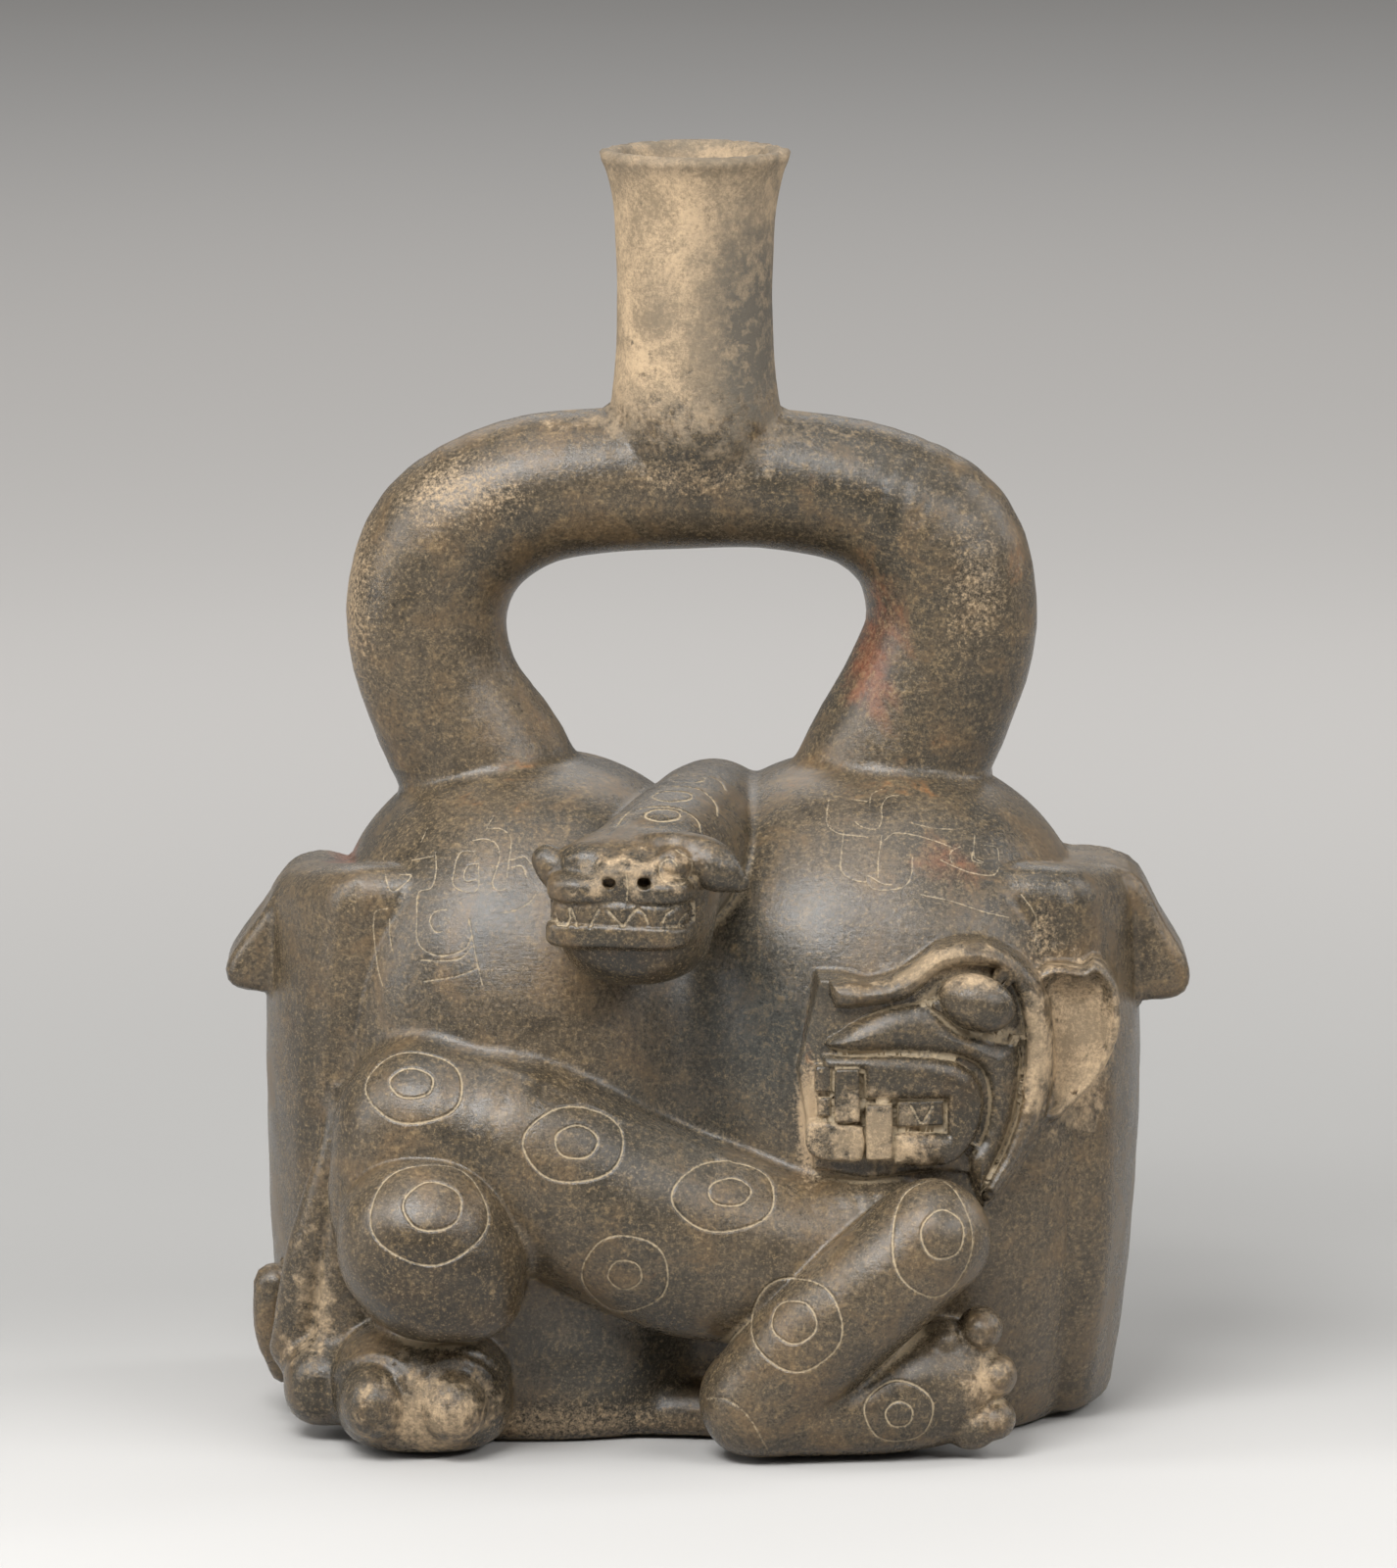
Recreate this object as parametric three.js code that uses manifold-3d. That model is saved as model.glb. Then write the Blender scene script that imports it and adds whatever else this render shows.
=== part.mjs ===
// Stirrup spout vessel: a hollow burnished ceramic bottle. Two swelling lobes stand between two side bands
// with hooked lugs; a tubular stirrup and a flared spout rise from them. A serpent comes down over the front,
// and a spotted feline lies below it, its head in profile on the right. One fired piece, open only at the
// spout.
//
// Millimetres, +Z up, the front looks along -Y. The origin is on the spout's axis, in the plane of the flat
// underside.
import * as THREE from 'three';
import { mergeVertices } from 'three/addons/utils/BufferGeometryUtils.js';
import Module from 'manifold-3d';

const wasm = await Module();
wasm.setup();
const { PI, sin, cos, abs, min, max } = Math;

// ---------- driving dimensions ----------

const HEIGHT = 322; // floor to rim
const WALL = 5.5; // least thickness of the chamber's wall
const FLOOR = 7; // thickness of the chamber's floor
const TUBE_WALL = 5; // thickness of the stirrup's and the spout's wall

// The chamber: two lobes side by side, rounded by a power law. Each is widest at z and reaches up and down
// from there.
const LOBE = { z: 80, deep: 69, up: 87, power: 2.5, blend: 14 };
const LEFT_LOBE = { x: -42, wide: 56, down: 125 };
const RIGHT_LOBE = { x: 45.5, wide: 61, down: 113 };
const SIDE_HOLLOW = { x: 72, z: 70, half: [31.5, 40, 57], power: 4 }; // the hollow behind each side band

// The side bands: a band down each side, its front face turned outwards, bowed to a keel at mid-depth. The
// top falls to the back, and the foot is drawn in.
const BAND = {
  top: 147, fall: 0.18, root: 84, rootDepth: 49, edgeDepth: 43,
  barrelZ: 90, barrel: 90, footIn: 20, edgeIn: 7,
};
const LEFT_BAND = { side: -1, keel: 109.6, edge: 101.5, barrelIn: 4.5 };
const RIGHT_BAND = { side: 1, keel: 113.8, edge: 107, barrelIn: 8 };

// The lugs: hooked flaps that droop outwards from the bands' tops. Outline in x, z from the top round to
// the root.
const LUG = { depth: 14, bevel: 3.5 };
const LEFT_LUG = [
  [-90, 138.5], [-102, 138.5], [-111, 127], [-119.5, 114], [-118, 109.8], [-108, 107.5], [-90, 107.5],
];
const RIGHT_LUG = [
  [90, 139], [111, 139], [119, 126.5], [126, 113.5], [124.5, 107.5], [113, 105.5], [90, 105.5],
];

// The stirrup's centreline and radius, from the left foot over the arch to the right foot: x, z, radius.
const STIRRUP = [
  [-46, 146, 22.5], [-53, 163, 22], [-64.5, 183.5, 20], [-68.5, 204, 20.4], [-62.5, 221.5, 20.8],
  [-44.7, 233.8, 19.3], [-22.3, 237.4, 18.5], [0.7, 238.1, 18], [22.6, 237.5, 17.8], [45, 232.9, 18.8],
  [61.2, 221, 21.6], [65.4, 201, 21.7], [60.3, 184, 22.2], [50, 163, 23.4], [43, 146, 24],
];
const STIRRUP_DEPTH = 0.95; // front-to-back radius as a share of the radius in the arch's plane

// The spout's outside, from its foot in the arch to the rim: radius, z.
const SPOUT = [
  [17, 236], [19.5, 242], [21.4, 249], [21.4, 256], [20.4, 266], [19.8, 280], [20.1, 300], [20.9, 309],
  [22.6, 316.5], [24.4, 320.6], [24, HEIGHT - 0.5], [22.6, HEIGHT],
];

// The serpent's neck, from the saddle between the lobes to the back of its head: x, y, z, radius.
const SERPENT_NECK = [
  [6, 34, 145, 14], [4.5, 8, 148.5, 16], [0, -20, 148.5, 17], [-5.5, -45, 147.5, 17.5], [-11, -66, 145, 18],
];
// The serpent's head: its middle, the plane of its face, its mouth, and how far it turns to the left.
const SERPENT = {
  x: -15, y: -81, face: -104, mouthTop: 144.4, mouthBottom: 139.4, width: 19.2, turn: 14 * (PI / 180),
};

// The feline's limbs: x, y, z, radius along each.
const TORSO = [
  [-69, -64, 80, 21], [-46, -66, 76, 24], [-22, -66, 63, 25], [0, -66, 54, 25], [24, -66, 50, 21],
  [46, -66, 56, 15],
];
const HAUNCH = [[-68, -62, 82, 22], [-70.5, -62, 62, 21.5], [-67, -62, 42, 17]];
const UPPER_ARM = [[59, -82, 57, 15], [44, -83, 44, 15.5], [28, -82, 29, 15.5], [16.5, -78, 15, 15]];
const FOREARM = [
  [16.5, -78, 15, 15], [34, -77, 12, 12.3], [46, -75, 13.2, 13.3], [57, -72, 17.5, 16], [62, -71, 19, 15.5],
];
const FORE_TOES = [[61.3, 28.4, 5.8], [71.8, 32.7, 5.6], [73.5, 20, 6.6], [72.5, 8, 6.6]]; // x, z, radius
const TAIL = [[-89, -50, 88, 3.5], [-92, -49, 68, 5], [-97.5, -47.5, 46, 6], [-101.5, -43, 22, 6.2]];
const TAIL_RIDGE = [[-87.5, -52, 72, 2.2], [-90.5, -53, 50, 2.8], [-94, -49, 18, 3]];
const TAIL_CURL = [[-104.5, -26, 13, 4], [-107.5, -28, 23, 4.6], [-106.8, -28, 35, 5.4]];

// The feline's head: a plate in relief that follows the lobe's curve, with a crest ridge over the eye and
// down behind the cheek.
const HEAD_PLATE = [
  [31, 121], [43, 119.5], [51, 121.7], [64, 128.6], [75, 127.4], [86, 117.2], [90.3, 102.3], [88.4, 84.4],
  [81.1, 71.2], [72.3, 62], [68.8, 71], [57, 72], [30.1, 73],
];
const CREST = [
  [35.4, 116.8, 2.6], [51, 119, 2.7], [62.5, 125.2, 2.9], [72.3, 125.4, 3.1], [83.4, 114.5, 3.6],
  [87.1, 98.4, 3.6], [82.5, 78.5, 3.2], [74, 65.5, 2.2],
];
const SNOUT = [[33, 105, 1.2], [44, 107.5, 4.2], [57, 109.3, 6.2], [66, 105.2, 5], [73, 99, 3]];
const LIP = [[32, 101.5], [50, 103], [66, 99], [73, 92], [72.5, 80], [65, 74.5], [52, 73.5], [28, 75]];
const EAR = [
  [87, 119], [94, 121.8], [101.5, 120], [106.2, 112], [106.4, 102], [101, 90], [93, 83], [87, 81],
];

// ---------- shaping helpers ----------

/** A closed three.js geometry as a solid that can be joined and cut. */
function solid(geometry) {
  const flat = geometry.index ? geometry.toNonIndexed() : geometry;
  const bare = new THREE.BufferGeometry().setAttribute('position', flat.getAttribute('position'));
  const merged = mergeVertices(bare, 1e-4);
  return new wasm.Manifold(new wasm.Mesh({
    numProp: 3,
    vertProperties: merged.attributes.position.array,
    triVerts: new Uint32Array(merged.index.array),
  }));
}

/** Moves every vertex of a geometry by a function that changes one THREE.Vector3. */
function reshape(geometry, move) {
  const place = geometry.getAttribute('position');
  const v = new THREE.Vector3();
  for (let i = 0; i < place.count; i++) {
    move(v.fromBufferAttribute(place, i));
    place.setXYZ(i, v.x, v.y, v.z);
  }
  return geometry;
}

const stay = () => {};

/** An ellipsoid. Settle moves its points once it is in place. */
function ball([x, y, z], radii, around = 12, settle = stay) {
  const geometry = new THREE.SphereGeometry(1, around, max(5, Math.round(around * 0.6)));
  return solid(reshape(geometry.rotateX(PI / 2).scale(...radii).translate(x, y, z), settle));
}

/** A box whose faces swell into each other by a power law: 2 is an ellipsoid, higher powers are boxier. */
function pillow([x, y, z], half, power, segments = [4, 4, 4], settle = stay) {
  const geometry = reshape(new THREE.BoxGeometry(2, 2, 2, ...segments), (v) => {
    const norm = (abs(v.x) ** power + abs(v.y) ** power + abs(v.z) ** power) ** (1 / power);
    v.divideScalar(norm);
  });
  return solid(reshape(geometry.scale(...half).translate(x, y, z), settle));
}

const smooth = (points, closed = false) => new THREE.CatmullRomCurve3(points, closed, 'centripetal');

/** A round-ended limb through stations [x, y, z, radius], flattened front to back by depth. */
function limb(stations, { depth = 1, around = 12, steps = 8, cap = 3 } = {}) {
  const path = smooth(stations.map(([x, y, z]) => new THREE.Vector3(x, y, z)));
  const sizes = smooth(stations.map(([, , , r], i) => new THREE.Vector3(i, r, 0)));
  const [first, last] = [stations[0][3], stations.at(-1)[3]];
  // Radius against place: -1 to 0 is the start's round end, 0 to 1 the path, 1 to 2 the far end.
  const profile = [];
  for (let i = 0; i < cap; i++) profile.push([first * sin((i / cap) * PI / 2), -cos((i / cap) * PI / 2)]);
  for (let i = 0; i <= steps; i++) profile.push([sizes.getPoint(i / steps).y, i / steps]);
  for (let i = 1; i < cap; i++) profile.push([last * cos((i / cap) * PI / 2), 1 + sin((i / cap) * PI / 2)]);
  profile.push([0, 2]);
  const forward = new THREE.Vector3(0, 1, 0);
  const lathe = new THREE.LatheGeometry(profile.map(([r, t]) => new THREE.Vector2(r, t)), around);
  return solid(reshape(lathe, (v) => {
    const t = min(max(v.y, 0), 1);
    const ahead = path.getTangent(t);
    const along = path.getPoint(t).addScaledVector(ahead, v.y < 0 ? v.y * first : max(0, v.y - 1) * last);
    const flat = forward.clone().addScaledVector(ahead, -forward.dot(ahead)).normalize();
    const wide = new THREE.Vector3().crossVectors(ahead, flat);
    v.copy(along.addScaledVector(wide, -v.z).addScaledVector(flat, v.x * depth));
  }));
}

/** How far relief is set back at x, to follow the right lobe as it turns away. */
const setBack = (x) => 0.0055 * max(0, x - 38) ** 2;

/** A flat shape in x, z made solid from y = back to y = front. */
function plate(shape, back, front, { bevel = 0, settle = stay } = {}) {
  const geometry = new THREE.ExtrudeGeometry(shape, {
    depth: back - front - bevel, bevelEnabled: bevel > 0, bevelThickness: bevel, bevelSize: bevel,
    bevelOffset: -bevel, bevelSegments: 1, curveSegments: 4,
  });
  return solid(reshape(geometry.rotateX(PI / 2).translate(0, back, 0), settle));
}

const polygon = (points) => new THREE.Shape(points.map(([x, z]) => new THREE.Vector2(x, z)));
const rectangle = (x0, z0, x1, z1) => polygon([[x0, z0], [x1, z0], [x1, z1], [x0, z1]]);
const join = (parts) => parts.reduce((all, one) => all.add(one));

/** One smooth closed shape through [x, z] points. */
function loop(points, divisions = 2) {
  const curve = smooth(points.map(([x, z]) => new THREE.Vector3(x, z, 0)), true);
  const around = curve.getPoints(points.length * divisions).slice(0, -1);
  return new THREE.Shape(around.map((p) => new THREE.Vector2(p.x, p.y)));
}

// ---------- chamber, bands and lugs ----------

/** How far a point lies outside the two blended lobes, roughly in millimetres; negative inside. */
function lobeField(v) {
  const [left, right] = [LEFT_LOBE, RIGHT_LOBE].map(({ x, wide, down }) => {
    const dz = v.z - LOBE.z;
    const parts = [(v.x - x) / wide, v.y / LOBE.deep, dz / (dz > 0 ? LOBE.up : down)];
    return (parts.reduce((sum, d) => sum + abs(d) ** LOBE.power, 0) ** (1 / LOBE.power) - 1) * wide;
  });
  const mix = max(LOBE.blend - abs(left - right), 0) / LOBE.blend;
  return min(left, right) - (mix * mix * LOBE.blend) / 4;
}

/** The chamber, moved outwards by a margin: each vertex of a box is sent out until it meets the field. */
function chamber(margin, segments) {
  const centre = new THREE.Vector3(0, 0, LOBE.z);
  const out = new THREE.Vector3();
  return solid(reshape(new THREE.BoxGeometry(2.6, 1.6, 2, ...segments), (v) => {
    let [near, far] = [0, 200];
    const way = v.clone().normalize();
    for (let i = 0; i < 24; i++) {
      const middle = (near + far) / 2;
      out.copy(centre).addScaledVector(way, middle);
      if (lobeField(out) < margin) near = middle;
      else far = middle;
    }
    v.copy(out);
  }));
}

function band({ side, keel, edge, barrelIn }) {
  const { root, rootDepth, edgeDepth } = BAND;
  const plan = new THREE.Shape([new THREE.Vector2(side * (root - 34), -rootDepth + 12)]);
  plan.lineTo(side * root, -rootDepth);
  plan.quadraticCurveTo(side * (edge - 2), -rootDepth + 1, side * edge, -edgeDepth);
  plan.quadraticCurveTo(side * keel, -edgeDepth * 0.5, side * keel, 0);
  plan.quadraticCurveTo(side * keel, edgeDepth * 0.5, side * edge, edgeDepth);
  plan.quadraticCurveTo(side * (edge - 2), rootDepth - 1, side * root, rootDepth);
  plan.lineTo(side * (root - 34), rootDepth - 12);
  const bevel = 6;
  const geometry = new THREE.ExtrudeGeometry(plan, {
    depth: BAND.top - 2 * bevel, steps: 5, bevelThickness: bevel, bevelSize: bevel, bevelOffset: -bevel,
    bevelSegments: 2, curveSegments: 3,
  }).translate(0, 0, bevel);
  return solid(reshape(geometry, (v) => {
    const away = (v.z - BAND.barrelZ) / BAND.barrel;
    const share = max(0, side * v.x - root) / (keel - root);
    v.x -= side * (v.z < BAND.barrelZ ? barrelIn : 4) * away * away * share;
    v.x -= side * BAND.edgeIn * share * (v.z / BAND.top) ** 1.5 * min(1, abs(v.y) / edgeDepth) ** 3;
    v.y *= 1 - (v.z < BAND.barrelZ ? BAND.footIn / rootDepth : 0) * away ** 4;
    v.z -= BAND.fall * (v.y + rootDepth) * (v.z / BAND.top) ** 3;
  }));
}

const lug = (outline) => plate(loop(outline), LUG.depth, -LUG.depth - LUG.bevel, { bevel: LUG.bevel });

// ---------- stirrup and spout ----------

function stirrup(margin, around, steps) {
  const stations = STIRRUP.map(([x, z, r]) => [x, 0, z, r + margin]);
  return limb(stations, { depth: STIRRUP_DEPTH, around, steps, cap: 2 });
}

const turned = (points, around) => solid(
  new THREE.LatheGeometry(points.map(([r, z]) => new THREE.Vector2(r, z)), around).rotateX(PI / 2),
);
const spout = () => turned([[0, SPOUT[0][1]], ...SPOUT, [0, HEIGHT]], 20);

function spoutBore() {
  const inside = SPOUT.filter(([, z]) => z > 250 && z < HEIGHT - 1).map(([r, z]) => [r - TUBE_WALL, z]);
  const [mouth] = inside.at(-1);
  return turned([[0, 236], [15, 236], ...inside, [mouth, HEIGHT + 5], [0, HEIGHT + 5]], 14);
}

// ---------- serpent ----------

function serpent() {
  const { x, y, face, mouthTop, mouthBottom, width, turn } = SERPENT;
  const middle = new THREE.Vector3(x, y, 0);
  const upright = new THREE.Vector3(0, 0, 1);
  const settle = (v) => v.sub(middle).applyAxisAngle(upright, -turn).add(middle);
  const mouth = (mouthTop + mouthBottom) / 2;
  const neck = limb(SERPENT_NECK, { around: 12, steps: 5, cap: 2 });
  const skull = pillow([x, y, 143.5], [width + 0.5, 21, 17], 2.8, [5, 3, 5], settle);
  const jaw = pillow([x + 0.5, y + 1, 133], [width - 1.5, 19.5, 11.5], 2.3, [5, 3, 4], settle);
  const upperLip = pillow([x, face + 9.5, mouthTop + 4], [width - 1, 9.5, 5], 3.5, [4, 2, 2], settle);
  const nose = pillow([x + 2.5, face + 9, mouthTop + 7.5], [9.5, 9.5, 5.5], 2.6, [4, 2, 2], settle);
  const lowerLip = pillow([x, face + 10.5, mouthBottom - 2.6], [width - 1.5, 9.5, 3.6], 4, [4, 2, 2], settle);
  const brows = [-1, 1].map((s) => ball([x + s * 9.5, y - 9, mouthTop + 11.5], [6.5, 8, 4.5], 8, settle));
  const ears = [
    limb([[-30, -83, 148, 5], [-36, -86, 153, 3.8]], { around: 6, steps: 1, cap: 2 }),
    limb([[-3, -89, 156, 5.5], [5, -92, 152.5, 5], [10.5, -92, 148.8, 2.6]], { around: 7, steps: 2, cap: 2 }),
  ];
  const teeth = [-2, -1, 0, 1, 2].map((i) => {
    const at = x + i * 6.2;
    const foot = mouthBottom - 0.5;
    const tooth = polygon([[at - 2.8, foot], [at + 2.8, foot], [at, mouthTop + 0.5]]);
    return plate(tooth, face + 12, face + 2, { settle });
  });
  const opening = rectangle(x - width + 1, mouthBottom, x + width - 1, mouthTop);
  const slot = plate(opening, -90, face - 10, { settle });
  const nostrils = [-1, 1].map((s) => ball([x + 3 + s * 4.5, face, mouth + 8.2], [1.4, 6, 1.2], 6, settle));
  const head = join([skull, jaw, upperLip, nose, lowerLip, ...brows]).subtract(slot);
  return join([neck, head, ...ears, ...teeth]).subtract(join(nostrils));
}

// ---------- feline ----------

function felineBody() {
  const knee = pillow([-67.5, -80, 56], [22.5, 24, 22.5], 2.2, [5, 4, 5]);
  const shin = pillow([-61.5, -78, 47], [19, 22, 16], 2.7, [3, 3, 3]);
  const hindPaw = pillow([-68.5, -62, 15], [23, 24, 17.5], 2.4, [5, 4, 4]);
  const hindToes = [[-80.2, 16.5], [-61.2, 15.5]].map(([x, z]) => ball([x, -81, z], [9.5, 9, 9.5], 8));
  const knob = ball([-97, -45, 13.5], [7, 12, 7], 7);
  const foreToes = FORE_TOES.map(([x, z, r]) => ball([x, -75, z], [r, 8, r], 7));
  return join([
    limb(TORSO, { depth: 0.86, around: 12, steps: 7 }),
    limb(HAUNCH, { depth: 0.95, around: 11, steps: 4 }),
    limb(UPPER_ARM, { around: 12, steps: 4 }),
    limb(FOREARM, { around: 12, steps: 4 }),
    limb(TAIL, { around: 7, steps: 4, cap: 2 }),
    limb(TAIL_RIDGE, { around: 6, steps: 2, cap: 2 }),
    limb(TAIL_CURL, { around: 8, steps: 3, cap: 2 }),
    knee, shin, hindPaw, knob, ...hindToes, ...foreToes,
  ]);
}

function felineHead() {
  const back = -50;
  const recess = -75.2;
  const settle = (v) => {
    v.y += setBack(v.x);
  };
  const carved = (shape, front, bevel = 0) => plate(shape, back, front, { bevel, settle });
  const field = carved(loop(HEAD_PLATE, 1), -74.5, 2);
  const ridge = (line, y, options) => limb(line.map(([x, z, r]) => [x, y + setBack(x), z, r]), options);
  const crest = ridge(CREST, -76, { depth: 1.3, around: 6, steps: 12, cap: 2 });
  const snout = ridge(SNOUT, -75.5, { around: 7, steps: 5, cap: 2 });
  const eye = ball([70.1, -70.5, 114.5], [9, 7, 7.3], 10);
  const lip = carved(loop(LIP), -77.5);
  const mouth = carved(rectangle(24, 76.2, 63, 100), -90).subtract(carved(rectangle(20, 0, 80, 130), recess));
  const teeth = [
    rectangle(41.5, 92.7, 66, 100.2), // upper gum
    rectangle(34.9, 86, 42, 100.7), // upper fang
    rectangle(30, 94.2, 34.4, 100.7),
    rectangle(30, 87, 34.4, 92.6),
    rectangle(28.3, 76.2, 42, 85.2), // lower jaw's end
    rectangle(42.4, 76.8, 49.3, 91.3), // lower fang
    rectangle(49.8, 76.2, 63.5, 83.6), // lower gum
  ].map((shape) => carved(shape, -78.6));
  const ear = plate(loop(EAR, 1), -30, -50, { bevel: 1 });
  const bowl = ball([98.5, -55, 103], [9, 9, 16], 9);
  return join([field.add(crest).add(lip).subtract(mouth), snout, eye, ...teeth, ear.subtract(bowl)]);
}

// ---------- the vessel ----------

const under = solid(new THREE.BoxGeometry(400, 400, 100).translate(0, 0, -50));
const floor = solid(new THREE.BoxGeometry(400, 400, 100).translate(0, 0, FLOOR - 50));
const outside = join([
  chamber(0, [10, 5, 8]), band(LEFT_BAND), band(RIGHT_BAND), lug(LEFT_LUG), lug(RIGHT_LUG),
  stirrup(0, 14, 20), spout(), serpent(), felineBody(), felineHead(),
]);
const sideHollows = [-1, 1].map((side) => {
  const { x, z, half, power } = SIDE_HOLLOW;
  return pillow([side * x, 0, z], half, power, [3, 3, 3]);
});
const hollow = join([
  chamber(-WALL, [6, 4, 4]).subtract(floor), ...sideHollows, stirrup(-TUBE_WALL, 10, 13), spoutBore(),
]);
const made = outside.subtract(under).subtract(hollow).getMesh();

const geometry = new THREE.BufferGeometry();
geometry.setAttribute('position', new THREE.BufferAttribute(new Float32Array(made.vertProperties), 3));
geometry.setIndex(new THREE.BufferAttribute(new Uint32Array(made.triVerts), 1));
const ceramic = new THREE.MeshStandardMaterial({ color: 0x5a4c3e, roughness: 0.45, metalness: 0 });
const mesh = new THREE.Mesh(geometry, ceramic);
mesh.name = 'stirrup_spout_vessel';

const vessel = new THREE.Group();
vessel.add(mesh);
export default vessel;
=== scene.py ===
"""The looks of the stirrup spout vessel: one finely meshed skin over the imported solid, its burnished
ceramic, a pale floor, soft light and the camera. The skin is worked out as a distance field in millimetres,
from the same forms as the solid, and is meshed, refined where there is carving, and scaled to metres."""
import math

import bpy
import numpy as np
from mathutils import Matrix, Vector
from mathutils.kdtree import KDTree


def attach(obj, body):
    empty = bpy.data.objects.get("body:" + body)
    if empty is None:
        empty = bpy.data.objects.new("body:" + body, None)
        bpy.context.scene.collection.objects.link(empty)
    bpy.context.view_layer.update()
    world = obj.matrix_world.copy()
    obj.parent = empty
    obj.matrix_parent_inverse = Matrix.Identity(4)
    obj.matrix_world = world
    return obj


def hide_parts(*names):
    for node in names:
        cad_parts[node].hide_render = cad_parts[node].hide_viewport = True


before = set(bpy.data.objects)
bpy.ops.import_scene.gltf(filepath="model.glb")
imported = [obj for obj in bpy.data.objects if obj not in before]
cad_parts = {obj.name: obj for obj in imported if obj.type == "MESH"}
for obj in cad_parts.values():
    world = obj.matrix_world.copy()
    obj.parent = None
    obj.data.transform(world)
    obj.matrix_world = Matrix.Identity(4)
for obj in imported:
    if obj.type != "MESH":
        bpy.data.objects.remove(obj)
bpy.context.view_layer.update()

MM = 0.001

# ---------- driving dimensions, in millimetres ----------
# +Z up, the front looks along -Y, the origin under the spout

HEIGHT = 322
WALL, FLOOR, TUBE_WALL = 5.5, 7, 5
WALL_DRAFT = 1.25  # the lobes' distance runs short of the true one inwards, so this much more is asked for

LOBE_Z, LOBE_DEEP, LOBE_UP, LOBE_POWER, LOBE_BLEND = 80, 69, 87, 2.5, 14
LOBES = [dict(x=-42, wide=56, down=125), dict(x=45.5, wide=61, down=113)]
SIDE_HOLLOW = dict(x=72, z=70, half=(31.5, 40, 57), power=4)

# The side bands reach out to a keel at mid-depth and to an edge in front and behind, widest at barrel_z
BAND = dict(
    top=147, fall=0.18, root=84, root_depth=49, edge_depth=43, barrel_z=90, barrel=90, foot_in=20, edge_in=7,
)
BANDS = [
    dict(side=-1, keel=109.6, edge=101.5, barrel_in=4.5), dict(side=1, keel=113.8, edge=107, barrel_in=8),
]

LUG_DEPTH = 14
LEFT_LUG = [
    (-90, 138.5), (-102, 138.5), (-111, 127), (-119.5, 114), (-118, 109.8), (-108, 107.5), (-90, 107.5),
]
RIGHT_LUG = [(90, 139), (111, 139), (119, 126.5), (126, 113.5), (124.5, 107.5), (113, 105.5), (90, 105.5)]

STIRRUP_DEPTH = 0.95
STIRRUP = [
    (-46, 146, 22.5), (-53, 163, 22), (-64.5, 183.5, 20), (-68.5, 204, 20.4), (-62.5, 221.5, 20.8),
    (-44.7, 233.8, 19.3), (-22.3, 237.4, 18.5), (0.7, 238.1, 18), (22.6, 237.5, 17.8), (45, 232.9, 18.8),
    (61.2, 221, 21.6), (65.4, 201, 21.7), (60.3, 184, 22.2), (50, 163, 23.4), (43, 146, 24),
]
SPOUT = [
    (17, 236), (19.5, 242), (21.4, 249), (21.4, 256), (20.4, 266), (19.8, 280), (20.1, 300), (20.9, 309),
    (22.6, 316.5), (24.4, 320.6), (24.4, HEIGHT),
]
SPOUT_FOOT = 236
# The bore is narrow where it leaves the arch's, and widens upwards by a slope
BORE = dict(foot=240, neck=244, radius=12, slope=0.5)

# The animals' limbs: stations of x, y, z and radius
SERPENT_NECK = [
    (6, 34, 145, 14), (4.5, 8, 148.5, 16), (0, -20, 148.5, 17), (-5.5, -45, 147.5, 17.5), (-11, -66, 145, 18),
]
# The serpent's head: its middle in x and y, the y of its face, its turn in degrees, and the mouth's z
SERPENT_X, SERPENT_Y, SERPENT_FACE, SERPENT_TURN = -15, -81, -104, 14
MOUTH_TOP, MOUTH_BOTTOM = 144.4, 139.4

TORSO = [
    (-69, -64, 80, 21), (-46, -66, 76, 24), (-22, -66, 63, 25), (0, -66, 54, 25), (24, -66, 50, 21),
    (46, -66, 56, 15),
]
HAUNCH = [(-68, -62, 82, 22), (-70.5, -62, 62, 21.5), (-67, -62, 42, 17)]
UPPER_ARM = [(59, -82, 57, 15), (44, -83, 44, 15.5), (28, -82, 29, 15.5), (16.5, -78, 15, 15)]
FOREARM = [
    (16.5, -78, 15, 15), (34, -77, 12, 12.3), (46, -75, 13.2, 13.3), (57, -72, 17.5, 16), (62, -71, 19, 15.5),
]
# The round toes: x and z of the hind paw's, then x, z and radius of the fore paw's
HIND_TOES = [(-80.2, 15), (-60.8, 14)]
FORE_TOES = [
    (62.5, 29.5, 5.8), (71.5, 33, 5.6), (67, 20, 5.6), (75.2, 21, 5.6), (69.2, 8.2, 6.6), (75, 10, 5.4),
]
TAIL = [(-88, -44, 92, 3), (-92, -48.5, 68, 5), (-97.5, -47.5, 46, 6), (-101.5, -43, 22, 6.2)]
TAIL_RIDGE = [(-87.5, -50, 72, 2), (-90.5, -53, 50, 2.8), (-91.5, -52.5, 34, 3), (-94, -49, 18, 3)]
TAIL_CURL = [(-104.5, -26, 13, 4), (-107.5, -28, 23, 4.6), (-106.8, -28, 35, 5.4)]

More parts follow.
